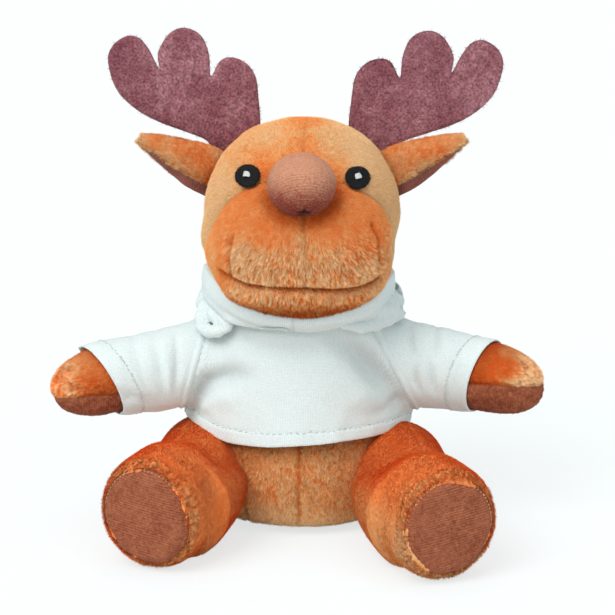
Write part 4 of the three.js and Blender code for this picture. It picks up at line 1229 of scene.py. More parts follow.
ANTLER = [
    (0, -0.12), (0.01, 0.3), (0.03, 0.5), (0.09, 0.63), (0.18, 0.69), (0.26, 0.655), (0.322, 0.5),
    (0.335, 0.73), (0.39, 0.925), (0.5, 1), (0.6, 0.93), (0.67, 0.74), (0.664, 0.57), (0.725, 0.76),
    (0.79, 0.89), (0.87, 0.915), (0.96, 0.83), (1, 0.69), (0.98, 0.48), (0.925, 0.3), (0.81, 0.13),
    (0.66, 0), (0.49, -0.1), (0.365, -0.18), (0.31, -0.28), (0.2, -0.42), (0.08, -0.3),
]
ANTLER_SPAN, ANTLER_HEIGHT, ANTLER_BACK, FELT_THICK = 61, 38.5, 6.5, 2.2


def spline(points, count):
    """A closed smooth line through the points. Each point may be a whole row of places."""
    points = np.array(points, float)
    k = len(points)
    t = np.arange(count) / count * k
    i, f = t.astype(int), (t % 1).reshape(-1, *[1] * (points.ndim - 1))
    a, b, c, d = (points[(i + o) % k] for o in (-1, 0, 1, 2))
    return 0.5 * (2 * b + (c - a) * f + (2 * a - 5 * b + 4 * c - d) * f**2 + (3 * b - a - 3 * c + d) * f**3)


def antler_piece(side):
    shift, tilt = (2.2, math.radians(2)) if side is RIGHT else (0.0, 0.0)
    root = np.array([side.sign * (17 + shift), SKULL[2] + 37.5])
    flat = np.array([(side.sign * u * ANTLER_SPAN, v * ANTLER_HEIGHT) for u, v in ANTLER])
    c, s = math.cos(-side.sign * tilt), math.sin(-side.sign * tilt)
    flat = flat @ np.array([[c, s], [-s, c]])
    outline = spline(flat + root, 420)
    step = 0.8
    x, z = np.meshgrid(np.arange(outline[:, 0].min(), outline[:, 0].max(), step),
                       np.arange(outline[:, 1].min(), outline[:, 1].max(), step))
    x[1::2] += step / 2
    grid = np.stack([x.ravel(), z.ravel()], 1)
    a, b = outline, np.roll(outline, -1, 0)
    crosses = ((a[:, 1] > grid[:, None, 1]) != (b[:, 1] > grid[:, None, 1]))
    with np.errstate(divide="ignore", invalid="ignore"):
        at = a[:, 0] + (grid[:, None, 1] - a[:, 1]) * (b[:, 0] - a[:, 0]) / (b[:, 1] - a[:, 1])
    inside = (crosses & (grid[:, None, 0] < at)).sum(1) % 2 == 1
    gap = lambda g: np.sqrt(((g[:, None] - outline[None]) ** 2).sum(2)).min(1)
    grid = grid[inside]
    grid = grid[gap(grid) > 0.45]
    flat = np.concatenate([outline, grid])
    k = len(outline)
    edges = [(i, (i + 1) % k) for i in range(k)]
    points, _, faces, *_ = delaunay_2d_cdt([Vector(v) for v in flat], edges, [], 1, 1e-5)
    flat = np.array([tuple(v) for v in points])
    tri = np.array([f for f in faces if len(f) == 3])
    edge = gap(flat)
    half = FELT_THICK / 2 * np.sqrt(np.clip(1 - (1 - np.clip(edge / 0.9, 0, 1)) ** 2, 0.02, 1))
    place = np.stack([flat[:, 0], np.zeros(len(flat)), flat[:, 1]], 1)
    wave = 0.7 * noise(place, 24, 71 + (side is LEFT)) + 0.25 * noise(place, 9, 73)
    fuzz = lambda seed: 0.10 * noise(place, 1.1, seed) + 0.10 * noise(place, 2.6, seed + 1)
    front, behind = place.copy(), place.copy()
    front[:, 1] = ANTLER_BACK + wave - half - fuzz(75)
    behind[:, 1] = ANTLER_BACK + wave + half + fuzz(77)
    count = len(flat)
    i = np.arange(k)
    j = (i + 1) % k
    wall = np.stack([i, j, count + j, count + i], -1)
    area = np.cross(flat[tri[:, 1]] - flat[tri[:, 0]], flat[tri[:, 2]] - flat[tri[:, 0]]).sum()
    if area < 0:
        tri = tri[:, ::-1]
    both_sides = np.concatenate([tri, tri[:, ::-1] + count])
    sheet = Surface(np.concatenate([front, behind]), [both_sides, wall[:, ::-1]])
    n = sheet.normals()
    if n[:count, 1].mean() > 0:
        sheet.turn_over()
        n = -n
    both = np.tile(place, (2, 1))
    nap = 0.5 + 0.45 * layered(both, 7, 79) + 0.3 * noise(both, 1.6, 80)
    felt = stuffed(sheet, f"{side.name}_antler_felt", FELT, "felt", (f"{side.name}_antler",), 0.1, nap=nap)
    rng = np.random.default_rng(SEED + 81)
    turn = rng.random(len(both)) * 2 * np.pi
    way = np.stack([np.cos(turn), 0 * turn, np.sin(turn)], 1)
    fibres = blades(sheet, f"{side.name}_antler_fibres", BLADES["antler"], 2.6, 0.13, way, SKULL, nap + 0.35,
                    0 * nap - 0.5, 0 * nap + 1, 82, material=("felt", FELT))
    for thing in (felt, fibres):
        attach(thing, f"{side.name}_antler_felt")


# The hooded top

CLOTH = 0.95
SEAM_Y = -1.0
HEM_TURN = 4.9


def gradient(field, p, step=0.05):
    """The way out of a form."""
    g = np.empty_like(p)
    for k in range(3):
        d = np.zeros(3)
        d[k] = step
        g[:, k] = (field(p + d) - field(p - d)) / (2 * step)
    return g


def netted(field, low, high, step):
    """A skin of even quads over a form, by surface nets, moved onto it."""
    ticks = [np.arange(a, b + step, step) for a, b in zip(low, high)]
    shape = [len(t) for t in ticks]
    grid = np.stack(np.meshgrid(*ticks, indexing="ij"), -1).reshape(-1, 3)
    inside = np.concatenate([field(part) < 0 for part in np.array_split(grid, 30)]).reshape(shape)
    count = np.zeros([n - 1 for n in shape], int)
    for i in (0, 1):
        for j in (0, 1):
            for k in (0, 1):
                count += inside[i:shape[0] - 1 + i, j:shape[1] - 1 + j, k:shape[2] - 1 + k]
    mixed = (count > 0) & (count < 8)
    index = np.full(mixed.shape, -1)
    index[mixed] = np.arange(mixed.sum())
    points = np.array(low) + (np.argwhere(mixed) + 0.5) * step
    faces = []
    for axis in range(3):
        b, c = (axis + 1) % 3, (axis + 2) % 3
        first = np.take(inside, np.arange(shape[axis] - 1), axis)
        second = np.take(inside, np.arange(1, shape[axis]), axis)
        edge = np.argwhere(first != second)
        for side in (b, c):
            edge = edge[(edge[:, side] > 0) & (edge[:, side] < shape[side] - 1)]
        out = first[tuple(edge.T)]
        ring = []
        for db, dc in ((1, 1), (0, 1), (0, 0), (1, 0)):
            cell = edge.copy()
            cell[:, b] -= db
            cell[:, c] -= dc
            ring.append(index[tuple(cell.T)])
        ring = np.stack(ring, 1)
        ring[~out] = ring[~out][:, ::-1]
        faces.append(ring)
    quads = np.concatenate(faces)
    for _ in range(5):
        total, number = np.zeros_like(points), np.zeros(len(points))
        for k in range(4):
            for other in (quads[:, (k + 1) % 4], quads[:, k - 1]):
                for axis in range(3):
                    total[:, axis] += np.bincount(quads[:, k], points[other, axis], len(points))
                number += np.bincount(quads[:, k], minlength=len(points))
        points = 0.4 * points + 0.6 * total / np.maximum(number, 1)[:, None]
        for _ in range(2):
            g = gradient(field, points)
            points -= g * (field(points) / np.maximum((g * g).sum(1), 1e-6))[:, None]
    return Surface(points, [quads])


def cut(surface, *planes):
    """The part of a skin in front of every plane, which are pairs of a place and a direction."""
    bm = bmesh.new()
    mesh = mesh_of(surface, "cut")
    bm.from_mesh(mesh)
    bpy.data.meshes.remove(mesh)
    for place, way in planes:
        bmesh.ops.bisect_plane(bm, geom=bm.verts[:] + bm.edges[:] + bm.faces[:], dist=1e-7,
                               plane_co=Vector(place) * MM, plane_no=Vector(way), clear_inner=True)
    bmesh.ops.triangulate(bm, faces=[f for f in bm.faces if len(f.verts) > 4])
    bm.verts.index_update()
    points = np.array([v.co for v in bm.verts]) / MM
    sizes = {3: [], 4: []}
    for f in bm.faces:
        sizes[len(f.verts)].append([v.index for v in f.verts])
    bm.free()
    return Surface(points, [np.array(f) for f in sizes.values() if f])


def open_edges(surface):
    """The edges that only one face has, each in its face's order."""
    pairs = []
    for f in surface.faces:
        for k in range(f.shape[1]):
            pairs.append(np.stack([f[:, k], f[:, (k + 1) % f.shape[1]]], 1))
    pairs = np.concatenate(pairs)
    key = np.sort(pairs, 1)
    _, where, number = np.unique(key, axis=0, return_index=True, return_counts=True)
    return pairs[where[number == 1]]


def thickened(surface, thick=CLOTH, rounding=0.55, round_where=None):
    """Cloth: the skin outside, the same skin inside, and a rounded rim between them."""
    n = surface.normals()
    rim = open_edges(surface)
    ends = surface.p[np.unique(rim)]
    if round_where is not None:
        ends = ends[round_where(ends)]
    near = np.full(len(surface.p), 9.0)
    close = np.arange(len(surface.p))
    for part in np.array_split(close, max(len(close) * len(ends) // 12_000_000, 1)):
        near[part] = np.sqrt(((surface.p[part][:, None] - ends[None]) ** 2).sum(2).min(1))
    edge = 1 - np.sqrt(np.clip(1 - (1 - np.clip(near / 1.3, 0, 1)) ** 2, 0, 1))
    outer = surface.p - n * (edge * thick * rounding * 0.6)[:, None]
    inner = surface.p - n * (thick - edge * thick * rounding * 0.6)[:, None]
    count = len(surface.p)
    faces = surface.faces + [f[:, ::-1] + count for f in surface.faces]
    faces.append(np.stack([rim[:, 1], rim[:, 0], rim[:, 0] + count, rim[:, 1] + count], 1))
    return Surface(np.concatenate([outer, inner]), faces)


def near_line(p, line):
    """How far each point is from a line of places, and how far along it the nearest place is."""
    line = np.array(line, float)
    best, share, run = np.full(len(p), 1e9), np.zeros(len(p)), 0.0
    total = np.linalg.norm(np.diff(line, axis=0), axis=1).sum()
    for a, b in zip(line[:-1], line[1:]):
        length = np.linalg.norm(b - a)
        t = np.clip(((p - a) @ (b - a)) / length**2, 0, 1)
        gap = np.linalg.norm(p - a - t[:, None] * (b - a), axis=1)
        nearer = gap < best
        best = np.where(nearer, gap, best)
        share = np.where(nearer, (run + t * length) / total, share)
        run += length
    return best, share


# Folds seen from the front: a line across and up, how wide, and how far in (-) or out (+)
FRONT_FOLDS = [
    ([(-46.5, 43), (-43.5, 52.5), (-38, 60), (-28.7, 64.3), (-22, 65.5)], 3.6, -3.4),
    ([(-41, 44), (-36, 52), (-28, 57)], 3.6, 1.3),
    ([(12, 80.5), (22.5, 75), (28.7, 66.5), (36.9, 57.0), (43, 48)], 4.4, -3.6),
    ([(8, 70), (18, 63.5), (27, 56), (34, 49.5)], 5.0, 1.2),
    ([(24, 80), (31, 75), (37, 68)], 2.2, 1.0),
    ([(-30, 80), (-16, 77.5), (0, 77.5), (13, 79)], 4.5, -1.5),
    ([(30, 49), (40, 50.5), (47, 49)], 2.6, -0.9),
    ([(-44, 46), (-36, 45.5)], 2.0, -0.7),
]
LEFT_CREASES = [
    ([(-51, 78), (-50, 68), (-51, 57)], 1.5, -0.9),
    ([(-71.8, 80), (-66.9, 70.8), (-61.1, 56.3)], 1.6, -0.55),
    ([(-60, 78), (-57, 68), (-55, 56)], 2.2, -0.6),
    ([(-80, 60), (-70, 55), (-60, 53)], 2.4, -0.6),
    ([(-56, 76), (-54, 66), (-53, 55)], 1.5, 0.5),
]
RIGHT_CREASES = [
    ([(44.1, 79.6), (44.6, 71.3)], 1.15, -0.95),
    ([(45.4, 67.1), (46.2, 60.0), (48, 55)], 1.15, -0.95),
    ([(50, 80), (49.5, 72), (49, 62)], 1.6, 0.6),
    ([(55.8, 80.5), (55.1, 75.5), (54.3, 70.6)], 1.1, -0.8),
    ([(52.0, 69.3), (52.5, 61.0), (54, 55)], 1.2, -0.9),
    ([(60, 79), (58.5, 70), (58, 58)], 1.6, 0.5),
    ([(64, 72), (62, 62), (63, 54)], 1.4, -0.45),
]


def strokes(p, lines):
    """How far folds push the front of the cloth, from lines across and up."""
    flat = p[:, [0, 2]]
    out = np.zeros(len(p))
    for line, width, depth in lines:
        gap, share = near_line(flat, line)
        out += depth * bell(gap, width) * (1 - 0.75 * np.abs(2 * share - 1) ** 2)
    return out * smooth((-p[:, 1] + 4) / 12)


def raglan_gap(p, side):
    """How far a point lies beyond the seam between the body panel and the sleeve."""
    (x0, z0), (x1, z1) = side.raglan
    way = unit(np.array([z0 - z1, x1 - x0], float))
    return (np.stack([side.sign * p[:, 0] - x0, p[:, 2] - z0], 1) * way).sum(1)


def raglan_plane(side, outward):
    """A place on the raglan seam's plane and the way it faces."""
    (x0, z0), (x1, z1) = side.raglan
    way = unit(np.array([(z0 - z1) * side.sign, 0, x1 - x0], float)) * outward
    return np.array([side.sign * x0, 0, z0]), way


def hem_wave(x):
    """How far the hem hangs above its level."""
    places = [-50, -44, -30, -14, 0, 16, 32, 44, 50]
    return np.interp(x, places, [1.5, 1.0, -1.2, -0.6, 0.6, 1.4, 0.8, -1.4, -2.2])


def between_seams(p):
    """One on the body panels, and nothing on the sleeves."""
    return np.minimum(*(smooth((3 - raglan_gap(p, side)) / 6) for side in SIDES))


def folds(p):
    """How far the folds push the front of the top and of its sleeves."""
    out = 1.3 * strokes(p, FRONT_FOLDS) * between_seams(p)
    out += 1.6 * strokes(p, LEFT_CREASES) * smooth((raglan_gap(p, LEFT) + 1) / 4)
    return out + 1.6 * strokes(p, RIGHT_CREASES) * smooth((raglan_gap(p, RIGHT) + 1) / 4)


def fold_shade(p):
    """The cloth is darker in its folds."""
    return 1 - 0.044 * np.clip(-folds(p), 0, 4.5)


def top_shaped(surface):
    """The folds, the seams and the hem's own wave, on any part of the top."""
    p, n = surface.p, surface.normals()
    push = 0.55 * layered(p, 17, 101) + 0.22 * noise(p, 6, 103) + 0.05 * noise(p, 1.6, 104)
    push += folds(p)
    for side in SIDES:
        d = raglan_gap(p, side)
        near_arm = smooth((side.sign * p[:, 0] - 18) / 6)
        push += near_arm * (-0.30 * bell(d, 0.8) + 0.50 * bell(d - 1.5, 0.8)
                            - 0.35 * bell(d - 2.9, 0.6) + 0.25 * bell(d + 1.5, 0.9))
        q = in_frame(p, side.shoulder, side.arm)
        back = cut_cuff(q, side) + CUFF_HEM
        cuff = -0.25 * bell(back, 0.5) + 0.10 * smooth(back / 0.8) - 0.6 * smooth((back - 4) / 4)
        push += (cuff + 0.5 * noise(p, 7, 107) * smooth((back + 3) / 8)) * (q[:, 0] > 20)
    line = HEM + HEM_TURN
    push += -0.35 * bell(p[:, 2] - line, 0.5) + 0.45 * smooth((line - p[:, 2]) / 0.8)
    push += 0.5 * noise(p * (1, 1, 0.3), 8, 108) * smooth((line + 6 - p[:, 2]) / 8)
    push -= 0.6 * bell(p[:, 1] - SEAM_Y, 0.55) * between_seams(p) * (p[:, 2] < 60)
    surface.p = p + n * push[:, None]
    surface.p[:, 2] += hem_wave(p[:, 0]) * smooth((HEM + 13 - p[:, 2]) / 13)
    return surface


def knitted(skin, name, node, shade, thread, **rim):
    """Cloth from its outer skin, in the place of a node of the frame."""
    thing = piece(thickened(skin, **rim), name, JERSEY, "jersey", shade=np.tile(shade, 2),
                  thread=np.tile(thread, (2, 1)))
    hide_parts(node)
    return thing


def under_the_top(q):
    """The body and arms as they are drawn in under the cloth."""
    arms = [arm(q, side) + arm_tucked(in_frame(q, side.shoulder, side.arm)[:, 0]) for side in SIDES]
    return np.minimum(np.minimum(*arms), body(q) + tucked(q))


def top_pieces():
    whole = netted(garment, (-92, -48, HEM - 3), (92, 42, 90), 0.72)
    hem, neck = ((0, 0, HEM), (0, 0, 1)), ((0, 0, 87.6), (0, 0, -1))
    seams = [(place - way * 0.25, way) for place, way in (raglan_plane(side, -1) for side in SIDES)]
    body_part = top_shaped(cut(whole, *seams, hem, neck))
    body_part.p = push_out(body_part.p, under_the_top, 1.5)
    made = []
    for name, way in (("front", -1), ("back", 1)):
        panel = cut(body_part, ((0, SEAM_Y, 0), (0, way, 0)))
        seam = np.minimum(raglan_gap(panel.p, LEFT) ** 2, raglan_gap(panel.p, RIGHT) ** 2)
        # Painted shade along the raglan seams, with the folds' painted shade
        shade = fold_shade(panel.p) - 0.07 * np.exp(-seam / 0.5) * smooth((np.abs(panel.p[:, 0]) - 18) / 6)
        around = np.arctan2(panel.p[:, 0], way * panel.p[:, 1]) * 40
        thread = np.stack([around, panel.p[:, 2], 0 * around], 1)
        thing = knitted(panel, f"top_{name}_cloth", f"top_{name}", shade, thread,
                        round_where=lambda e: e[:, 2] < HEM + 3)
        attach(thing, "body")
        made.append((thing, panel))
    for side in SIDES:
        place, outward = raglan_plane(side, 1)
        off = side.arm[0] - side.slant * side.arm[1] + CUFF_TILT * side.sign * side.arm[2]
        end = side.shoulder + side.arm[0] * side.sleeve
        part = top_shaped(cut(whole, (place, outward), (end, -unit(off)), hem))
        part.p = push_out(part.p, lambda q: arm(q, side), 1.7)
        q = in_frame(part.p, side.shoulder, side.arm)
        thread = np.stack([np.arctan2(q[:, 2], q[:, 1]) * 16.5, q[:, 0], 0 * q[:, 0]], 1)
        # Painted shade along the raglan seam, with the folds' painted shade
        shade = fold_shade(part.p) - 0.07 * np.exp(-(raglan_gap(part.p, side) ** 2) / 0.5)
        thing = knitted(part, f"{side.name}_sleeve_cloth", f"{side.name}_sleeve", shade, thread,
                        round_where=lambda e: raglan_gap(e, side) > 4)
        sewn = cuff_stitches(part, side)
        for cloth in (thing, sewn):
            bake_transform(cloth)
    hem_thread = hem_stitches(made)
    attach(hem_thread, "body")


def cuff_stitches(part, side):
    """Thread all round the sleeve, behind its turned edge."""
    q = in_frame(part.p, side.shoulder, side.arm)
    back = cut_cuff(q, side) + CUFF_HEM
    near = (np.abs(back) < 0.8) & (q[:, 0] > 20)
    turn = np.arctan2(q[near, 2], q[near, 1])
    order = np.argsort(turn)
    points, normals = part.p[near][order], part.normals()[near][order]
    turn = turn[order]
    t = np.linspace(-np.pi + 0.02, np.pi - 0.02, 340)
    line, ways = between(t, turn, points), unit(between(t, turn, normals))
    return stitches(f"{side.name}_cuff_stitches", line, ways, SEWING, "jersey", 2.1, 0.9, 0.2,
                    rise=0.12, seed=3)


def hem_stitches(made):
    """Thread all round the top, across both panels."""
    lines = []
    for _, panel in made:
        p, n = panel.p, panel.normals()
        level = p[:, 2] - hem_wave(p[:, 0]) * 0.75
        near = np.abs(level - HEM - HEM_TURN) < 0.7
        turn = np.arctan2(p[near, 0], -p[near, 1])
        lines.append(np.concatenate([turn[:, None], p[near], n[near]], 1))
    both = np.concatenate(lines)
    both = both[np.argsort(both[:, 0])]
    t = np.linspace(-np.pi + 0.02, np.pi - 0.02, 900)
    value = between(t, both[:, 0], both[:, 1:])
    value[2:-2] = sum(value[2 + k:len(value) - 2 + k] for k in (-2, -1, 0, 1, 2)) / 5
    line, ways = value[:, :3], unit(value[:, 3:])
    line[:, 2] += 0.45 * np.sin(t * 95)
    return stitches("hem_stitches", line, ways, SEWING, "jersey", 2.0, 1.0, 0.2, rise=0.12, seed=4)


def push_out(p, field, room):
    """Points too near a form move straight out of it."""
    for _ in range(6):
        value = field(p)
        g = gradient(field, p)
        step = np.maximum(room - value, 0) / np.maximum((g * g).sum(1), 1e-6)
        p = p + g * np.minimum(step, 1.5)[:, None]
    return p


COLLAR_RISE = 8.2
COLLAR_LOW = np.array([0, -38, 83.9])
COLLAR_WAY = unit(np.array([0, -0.16, 1.0]))


def turned_head(p, share=0.0):
    """Everywhere that the head passes through as it turns, for cloth that takes a share of the turn."""
    out = np.full(len(p), 1e9)
    for degrees in (-20, -10, 0, 10, 20):
        turn = math.radians(degrees) * (1 - share)
        c, s = np.cos(turn), np.sin(turn)
        q = p - NECK
        q = np.stack([c * q[:, 0] - s * q[:, 1], s * q[:, 0] + c * q[:, 1], q[:, 2]], 1) + NECK
        out = np.minimum(out, head(q))
    return out


# The collar's roll: by angle from the front, how wide and high its lip, its fullest part and its top lie
COLLAR_TABLE = np.array([
    (-180, 35, 84.5, 37, 90, 36.5, 95), (-130, 35.5, 85, 38.5, 91, 38, 99),
    (-100, 36.5, 86.0, 40.8, 94, 39.8, 104), (-78, 37.6, 86.2, 41.8, 94.5, 40.2, 104.5),
    (-60, 37.8, 86.8, 40.9, 92, 39.8, 101.5), (-45, 37.4, 85.8, 39.9, 91, 39.2, 98),
    (-25, 35.4, 84.5, 37.9, 88, 38.2, 94.2), (0, 33.8, 84.4, 36.2, 88, 37.2, 92.2),
    (20, 34.8, 85.0, 36.5, 89, 37.2, 94), (45, 34.8, 85.8, 36.8, 90.5, 36.8, 98),
    (65, 35.0, 86.4, 37.4, 93, 37.0, 101.5), (85, 35.6, 86.4, 37.8, 93.5, 37.2, 103),
    (130, 35.2, 85.5, 37.7, 91, 37.7, 98.5), (180, 35, 84.5, 37, 90, 36.5, 95),
], float)


def with_collar(p):
    """The head as the collar meets it: the collar's upper edge goes round with the head."""
    return turned_head(p, smooth((p - COLLAR_LOW) @ COLLAR_WAY / COLLAR_RISE))


def collar_piece():
    """A roll of cloth from angle to angle round the neck."""
    angles = np.linspace(-180, 180, 421)[:-1]
    t = COLLAR_TABLE
    lip_r, lip_z, full_r, full_z, top_r, top_z = (smooth_ring(angles, t[:, 0], t[:, k]) for k in range(1, 7))
    # Its top lies against the head
    a = np.radians(angles)
    way = np.stack([np.sin(a), -np.cos(a), 0 * a], 1)
    rim = np.stack([0 * a, 0 * a - 2, top_z - 1.5], 1)
    cheek = np.linalg.norm((cast(with_collar, rim, way, 60) - rim)[:, :2], axis=1) + 0.7
    cheek = np.array([cheek[np.arange(k - 6, k + 7) % len(a)].max() for k in range(len(a))])
    top_r = np.maximum(top_r, cheek + 2.4)
    full_r = np.maximum(full_r, top_r - 0.6)
    thick = np.clip(top_r - cheek, 2.4, 8)
    section = [
        (lip_r - 2.2, lip_z + 1.6), (lip_r - 0.4, lip_z + 0.1), (lip_r + 0.8, lip_z + 1.2), (full_r, full_z),
        (top_r + 0.3, top_z - 1.6), (top_r - 0.9, top_z), (top_r - thick + 0.6, top_z - 0.7),
        (top_r - thick, top_z - 3.5), (lip_r - 2.6, lip_z + 4.0),
    ]
    count = 48
    r, z = spline(section, count).transpose(1, 0, 2)
    a = np.radians(angles)[None]
    p = np.stack([r * np.sin(a), -2 - r * np.cos(a), z], -1).reshape(-1, 3)
    columns = len(angles)
    skin = Surface(p, wrapped(count + 1, columns, poles=False))
    skin.faces = [np.where(f >= count * columns, f - count * columns, f) for f in skin.faces]
    outward = (p * (1, 1, 0))[columns * 14:columns * 18]
    if (skin.normals()[columns * 14:columns * 18] * outward).sum() < 0:
        skin.turn_over()
    n = skin.normals()
    turn = np.degrees(np.arctan2(p[:, 0], -p[:, 1] - 2))
    low = np.clip((p[:, 2] - np.tile(lip_z, count)) / 6, 0, 1)
    out_side = smooth((n * unit(p * (1, 1, 0))).sum(1) * 2 + 0.5)
    butt = bell(p[:, 0] + 3.4, 0.5) * (p[:, 1] < 0)
    push = 0.45 * layered(p, 12, 111) + 0.18 * noise(p, 4, 112) - 0.45 * butt
    push += 0.9 * bell(low - 0.2, 0.25) * (0.2 + 0.8 * np.sin(np.radians(turn) * 7 + 1)) * out_side
    push -= 1.3 * bell(turn + 12, 5) * bell(low, 0.35) * out_side
    slanted = turn + 40 + 5 * (p[:, 2] - 88)
    push -= 0.8 * bell(slanted, 9) * out_side * (turn < -15)
    skin.p = p + n * push[:, None]
    skin.p = push_out(skin.p, with_collar, 0.5)
    thread = np.stack([np.radians(turn) * 36, p[:, 2], 0 * turn], 1)
    # Painted shade where the collar's ends butt at the front
    thing = piece(skin, "collar_cloth", JERSEY, "jersey", shade=1 - 0.15 * butt, thread=thread)
    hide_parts("collar_band")
    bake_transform(thing)


def smooth_ring(at, angles, values, spread=9):
    """Values at angles round a ring, each an average over its neighbours."""
    steps = np.linspace(-spread, spread, 9)
    return sum(np.interp((at + d + 180) % 360 - 180, angles, values) for d in steps) / len(steps)


def chain(paths):
    """A soft form along lines of balls, each path a list of (x, y, z, radius)."""
    def field(p):
        out = None
        for path in paths:
            for a, b in zip(path[:-1], path[1:]):
                a, b = np.array(a, float), np.array(b, float)
                d = b[:3] - a[:3]
                t = np.clip((p - a[:3]) @ d / max(d @ d, 1e-9), 0, 1)
                one = np.linalg.norm(p - a[:3] - t[:, None] * d, axis=1) - (a[3] + t * (b[3] - a[3]))
                out = one if out is None else join(out, one, 1.5)
        return out
    return field


BUNCHES = {
    "left": [
        [(-41.0, -10, 89.0, 2.8), (-41.6, -14, 86.0, 2.6), (-40.6, -18, 83.4, 2.6), (-38.2, -21.5, 82.0, 2.4),
         (-35.3, -24, 82.6, 2.1), (-32.0, -26.5, 84.0, 1.4)],
        [(-39.2, -12, 89.4, 2.6), (-36.9, -17.5, 87.0, 2.5), (-34.6, -22, 85.4, 2.4),
         (-31.4, -26, 84.8, 1.6)],
        [(-40.0, -8, 88.5, 3.0), (-40, -2, 88, 3.4), (-40, 4, 87, 3.4)],
    ],
    "right": [
        [(32.5, -12, 93.5, 2.2), (35.5, -12, 90.0, 3.4), (37.0, -12, 86.2, 3.4)],
        [(36.0, -14, 88.5, 3.4), (32.0, -18, 88.0, 3.0), (28.5, -22, 87.2, 2.2)],
        [(39.6, -9, 85.4, 2.5), (35.0, -17, 85.2, 2.9), (29.5, -23, 84.4, 2.8), (23.5, -28, 84.2, 2.4),
         (17.0, -32, 85.6, 1.4)],
        [(36.5, -4, 90.0, 3.4), (38.5, 3, 87.5, 3.6)],
    ],
}


def rested(ball):
    """A ball of a path, moved most of the way on to the top."""
    at = np.array([ball[:3]], float)
    g = gradient(garment, at)[0]
    off = max(garment(at)[0] - 0.85 * ball[3] - 0.6, 0)
    return (*(at[0] - 0.75 * off * unit(g)), ball[3])


def hood_pieces():
    """The hood folded down behind, and its ends gathered at both shoulders."""
    # Angles go round the back, from one shoulder to the other
    angles = np.linspace(78, 282, 300)
    weight = np.clip(np.sin(np.radians((angles - 78) / 204 * 180)), 0, 1)
    drop = 30 * (0.38 + 0.62 * weight**1.4)
    deep = 8.2 * (0.42 + 0.58 * weight)
    top = 92.5 + 1.2 * np.cos(np.radians(angles) * 2)
    # Its section runs down inside, round its foot and up outside
    down = np.linspace(0, 1, 26)[:, None]
    bend = np.linspace(-np.pi / 2, np.pi / 2, 10)[1:-1, None]
    rise = np.linspace(0, 1, 34)[:, None]
    half = deep / 2 * 0.55
    low = top - drop
    full = deep * (0.55 + 0.45 * np.sin(np.clip(rise / 0.55, 0, 1) * np.pi / 2))
    full -= deep * 0.12 * smooth((rise - 0.6) / 0.4)
    r = np.concatenate([0.9 + 0 * down * deep, 0.9 + half * (1 + np.sin(bend)), 0.9 + full])
    z = np.concatenate([top - down * (drop - half), low + half - half * np.cos(bend),
                        low + half + rise * (drop - half + 1.5)])
    a = np.radians(angles)[None]
    # The torso under the top, at each angle and height
    flat_z = np.clip(z.ravel(), HEM, COLLAR)
    way = np.stack([np.sin(a + 0 * z), -np.cos(a + 0 * z), 0 * z], -1).reshape(-1, 3)
    start = np.stack([0 * flat_z, 0 * flat_z, flat_z], 1)
    torso = lambda q: body(np.minimum(q, (np.inf, np.inf, COLLAR))) - top_ease(q[:, 2])
    base = cast(torso, start, way, 70)
    reach = np.linalg.norm(base[:, :2], axis=1) + r.ravel()
    p = way * reach[:, None]
    p[:, 2] = z.ravel()
    rows, columns = r.shape
    skin = Surface(p, lattice(rows, columns))
    n = skin.normals()
    outer_rows = slice((rows - 30) * columns, None)
    if (n[outer_rows] * way[outer_rows]).sum() < 0:
        skin.turn_over()
        n = -n
    row = np.repeat(np.arange(rows), columns)
    outside = smooth((row - 30) / 10)
    turn = np.tile(angles, rows)
    ends = bell(turn - 78, 22) + bell(turn - 282, 22)
    pleats = np.sin(z.ravel() * 0.9 + np.abs(turn - 180) * 0.10) * ends * 1.2
    level = np.stack([turn * 0.55, 0.4 * z.ravel(), 0 * turn], 1)
    sag = 1.3 * noise(level, 13, 121) + 0.5 * layered(p, 12, 122)
    swag = 1.1 * bell(np.abs(turn - 180) - 0.9 * (z.ravel() - 60), 7)
    shift = outside * (pleats + sag - swag)
    seam = bell(turn - 180, 0.9) * outside
    skin.p = p + n * (shift - 0.6 * seam)[:, None]
    skin.p = push_out(skin.p, garment, 1.15)
    skin.p = push_out(skin.p, turned_head, 1.0)
    thread = np.stack([np.radians(turn) * 42, row * 0.9, 0 * turn], 1)
    # Painted shade in the centre back seam
    thing = knitted(skin, "hood_cloth", "hood", 1 - 0.2 * seam, thread, thick=0.9)
    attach(thing, "body")
    ends = []
    for name, paths in BUNCHES.items():
        paths = [[rested(q) for q in path] for path in paths]
        field = chain(paths)
        every = np.array([q for path in paths for q in path])
        low, high = every[:, :3].min(0) - 5, every[:, :3].max(0) + 5
        roll = netted(field, low, high, 0.5)
        m = roll.normals()
        roll.p = roll.p + m * (0.15 * noise(roll.p, 4, 125))[:, None]
        roll.p = push_out(roll.p, turned_head, 0.8)
        end = piece(roll, f"hood_end_{name}", JERSEY, "jersey", shade=np.ones(len(roll.p)),
                    thread=np.stack([roll.p[:, 0] + roll.p[:, 1], roll.p[:, 2], 0 * roll.p[:, 0]], 1))
        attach(end, "body")
        ends.append(end.name)


# The stage


BACKDROP = (0.975, 1.0, 1.0, 1)


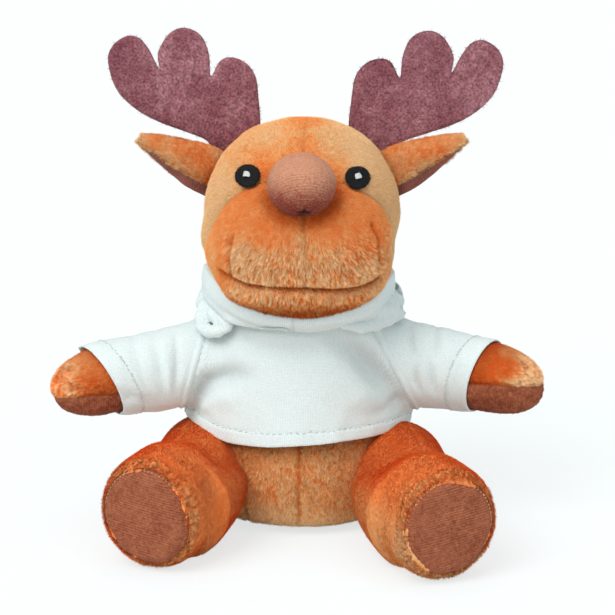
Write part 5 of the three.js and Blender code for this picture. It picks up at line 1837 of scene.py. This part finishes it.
def stage():
    n = Nodes("pale_floor")
    white = n.add("BsdfDiffuse", {"Color": (0.84, 0.88, 0.88, 1)}).outputs[0]
    glow = n.add("Emission", {"Color": BACKDROP, "Strength": 1.05}).outputs[0]
    both = n.add("MixShader", {0: 0.68, 1: white, 2: glow}).outputs[0]
    seen = n.add("LightPath").outputs["Is Camera Ray"]
    pick = n.add("MixShader", {0: seen, 1: white, 2: both})
    n.add("OutputMaterial", {"Surface": pick.outputs[0]})
    t = np.linspace(-1, 1, 9)
    x, y = np.meshgrid(t * 2500, t * 2500)
    floor = Surface(np.stack([x.ravel(), y.ravel(), np.full(x.size, -0.05)], 1), lattice(9, 9))
    mesh = mesh_of(floor, "floor")
    mesh.materials.append(n.material)
    linked("floor", mesh)


def lamp(name, way, strength, spread):
    """A broad soft lamp far away, so that the floor is lit evenly however far it runs."""
    data = bpy.data.lights.new(name, "SUN")
    data.energy, data.angle = strength, math.radians(spread)
    linked(name, data).rotation_euler = Vector(way).to_track_quat("Z", "Y").to_euler()


def light_and_camera():
    world = bpy.data.worlds.new("studio")
    bpy.context.scene.world = world
    world.use_nodes = True
    n = Nodes(tree=world.node_tree)
    soft = n.add("Background", {"Color": (0.86, 0.97, 1.0, 1), "Strength": 0.42}).outputs[0]
    white = n.add("Background", {"Color": BACKDROP, "Strength": 1.0}).outputs[0]
    seen = n.add("LightPath").outputs["Is Camera Ray"]
    n.add("OutputWorld", {"Surface": n.add("MixShader", {0: seen, 1: soft, 2: white}).outputs[0]})
    lamp("key", (-0.50, -0.60, 0.80), 1.85, 40)
    lamp("fill", (0.55, -0.80, 0.35), 0.55, 70)
    lamp("top", (0.0, 0.12, 1.0), 0.72, 60)
    scene = bpy.context.scene
    scene.view_settings.view_transform = "Standard"
    data = bpy.data.cameras.new("camera")
    data.sensor_width, data.lens = 36, 142.8
    data.clip_start, data.clip_end = 0.01, 20
    camera = linked("camera", data)
    down = math.radians(14)
    camera.location = (2.26 * MM, -math.cos(down), 85.5 * MM + math.sin(down))
    camera.rotation_euler = (math.pi / 2 - down, 0, 0)
    scene.camera = camera


light_and_camera()
stage()
head_pieces()
nose_piece()
body_pieces()
for one in SIDES:
    eye_pieces(one)
    arm_pieces(one)
    leg_pieces(one)
    sole_pieces(one)
    ear_pieces(one)
    antler_piece(one)
top_pieces()
collar_piece()
hood_pieces()
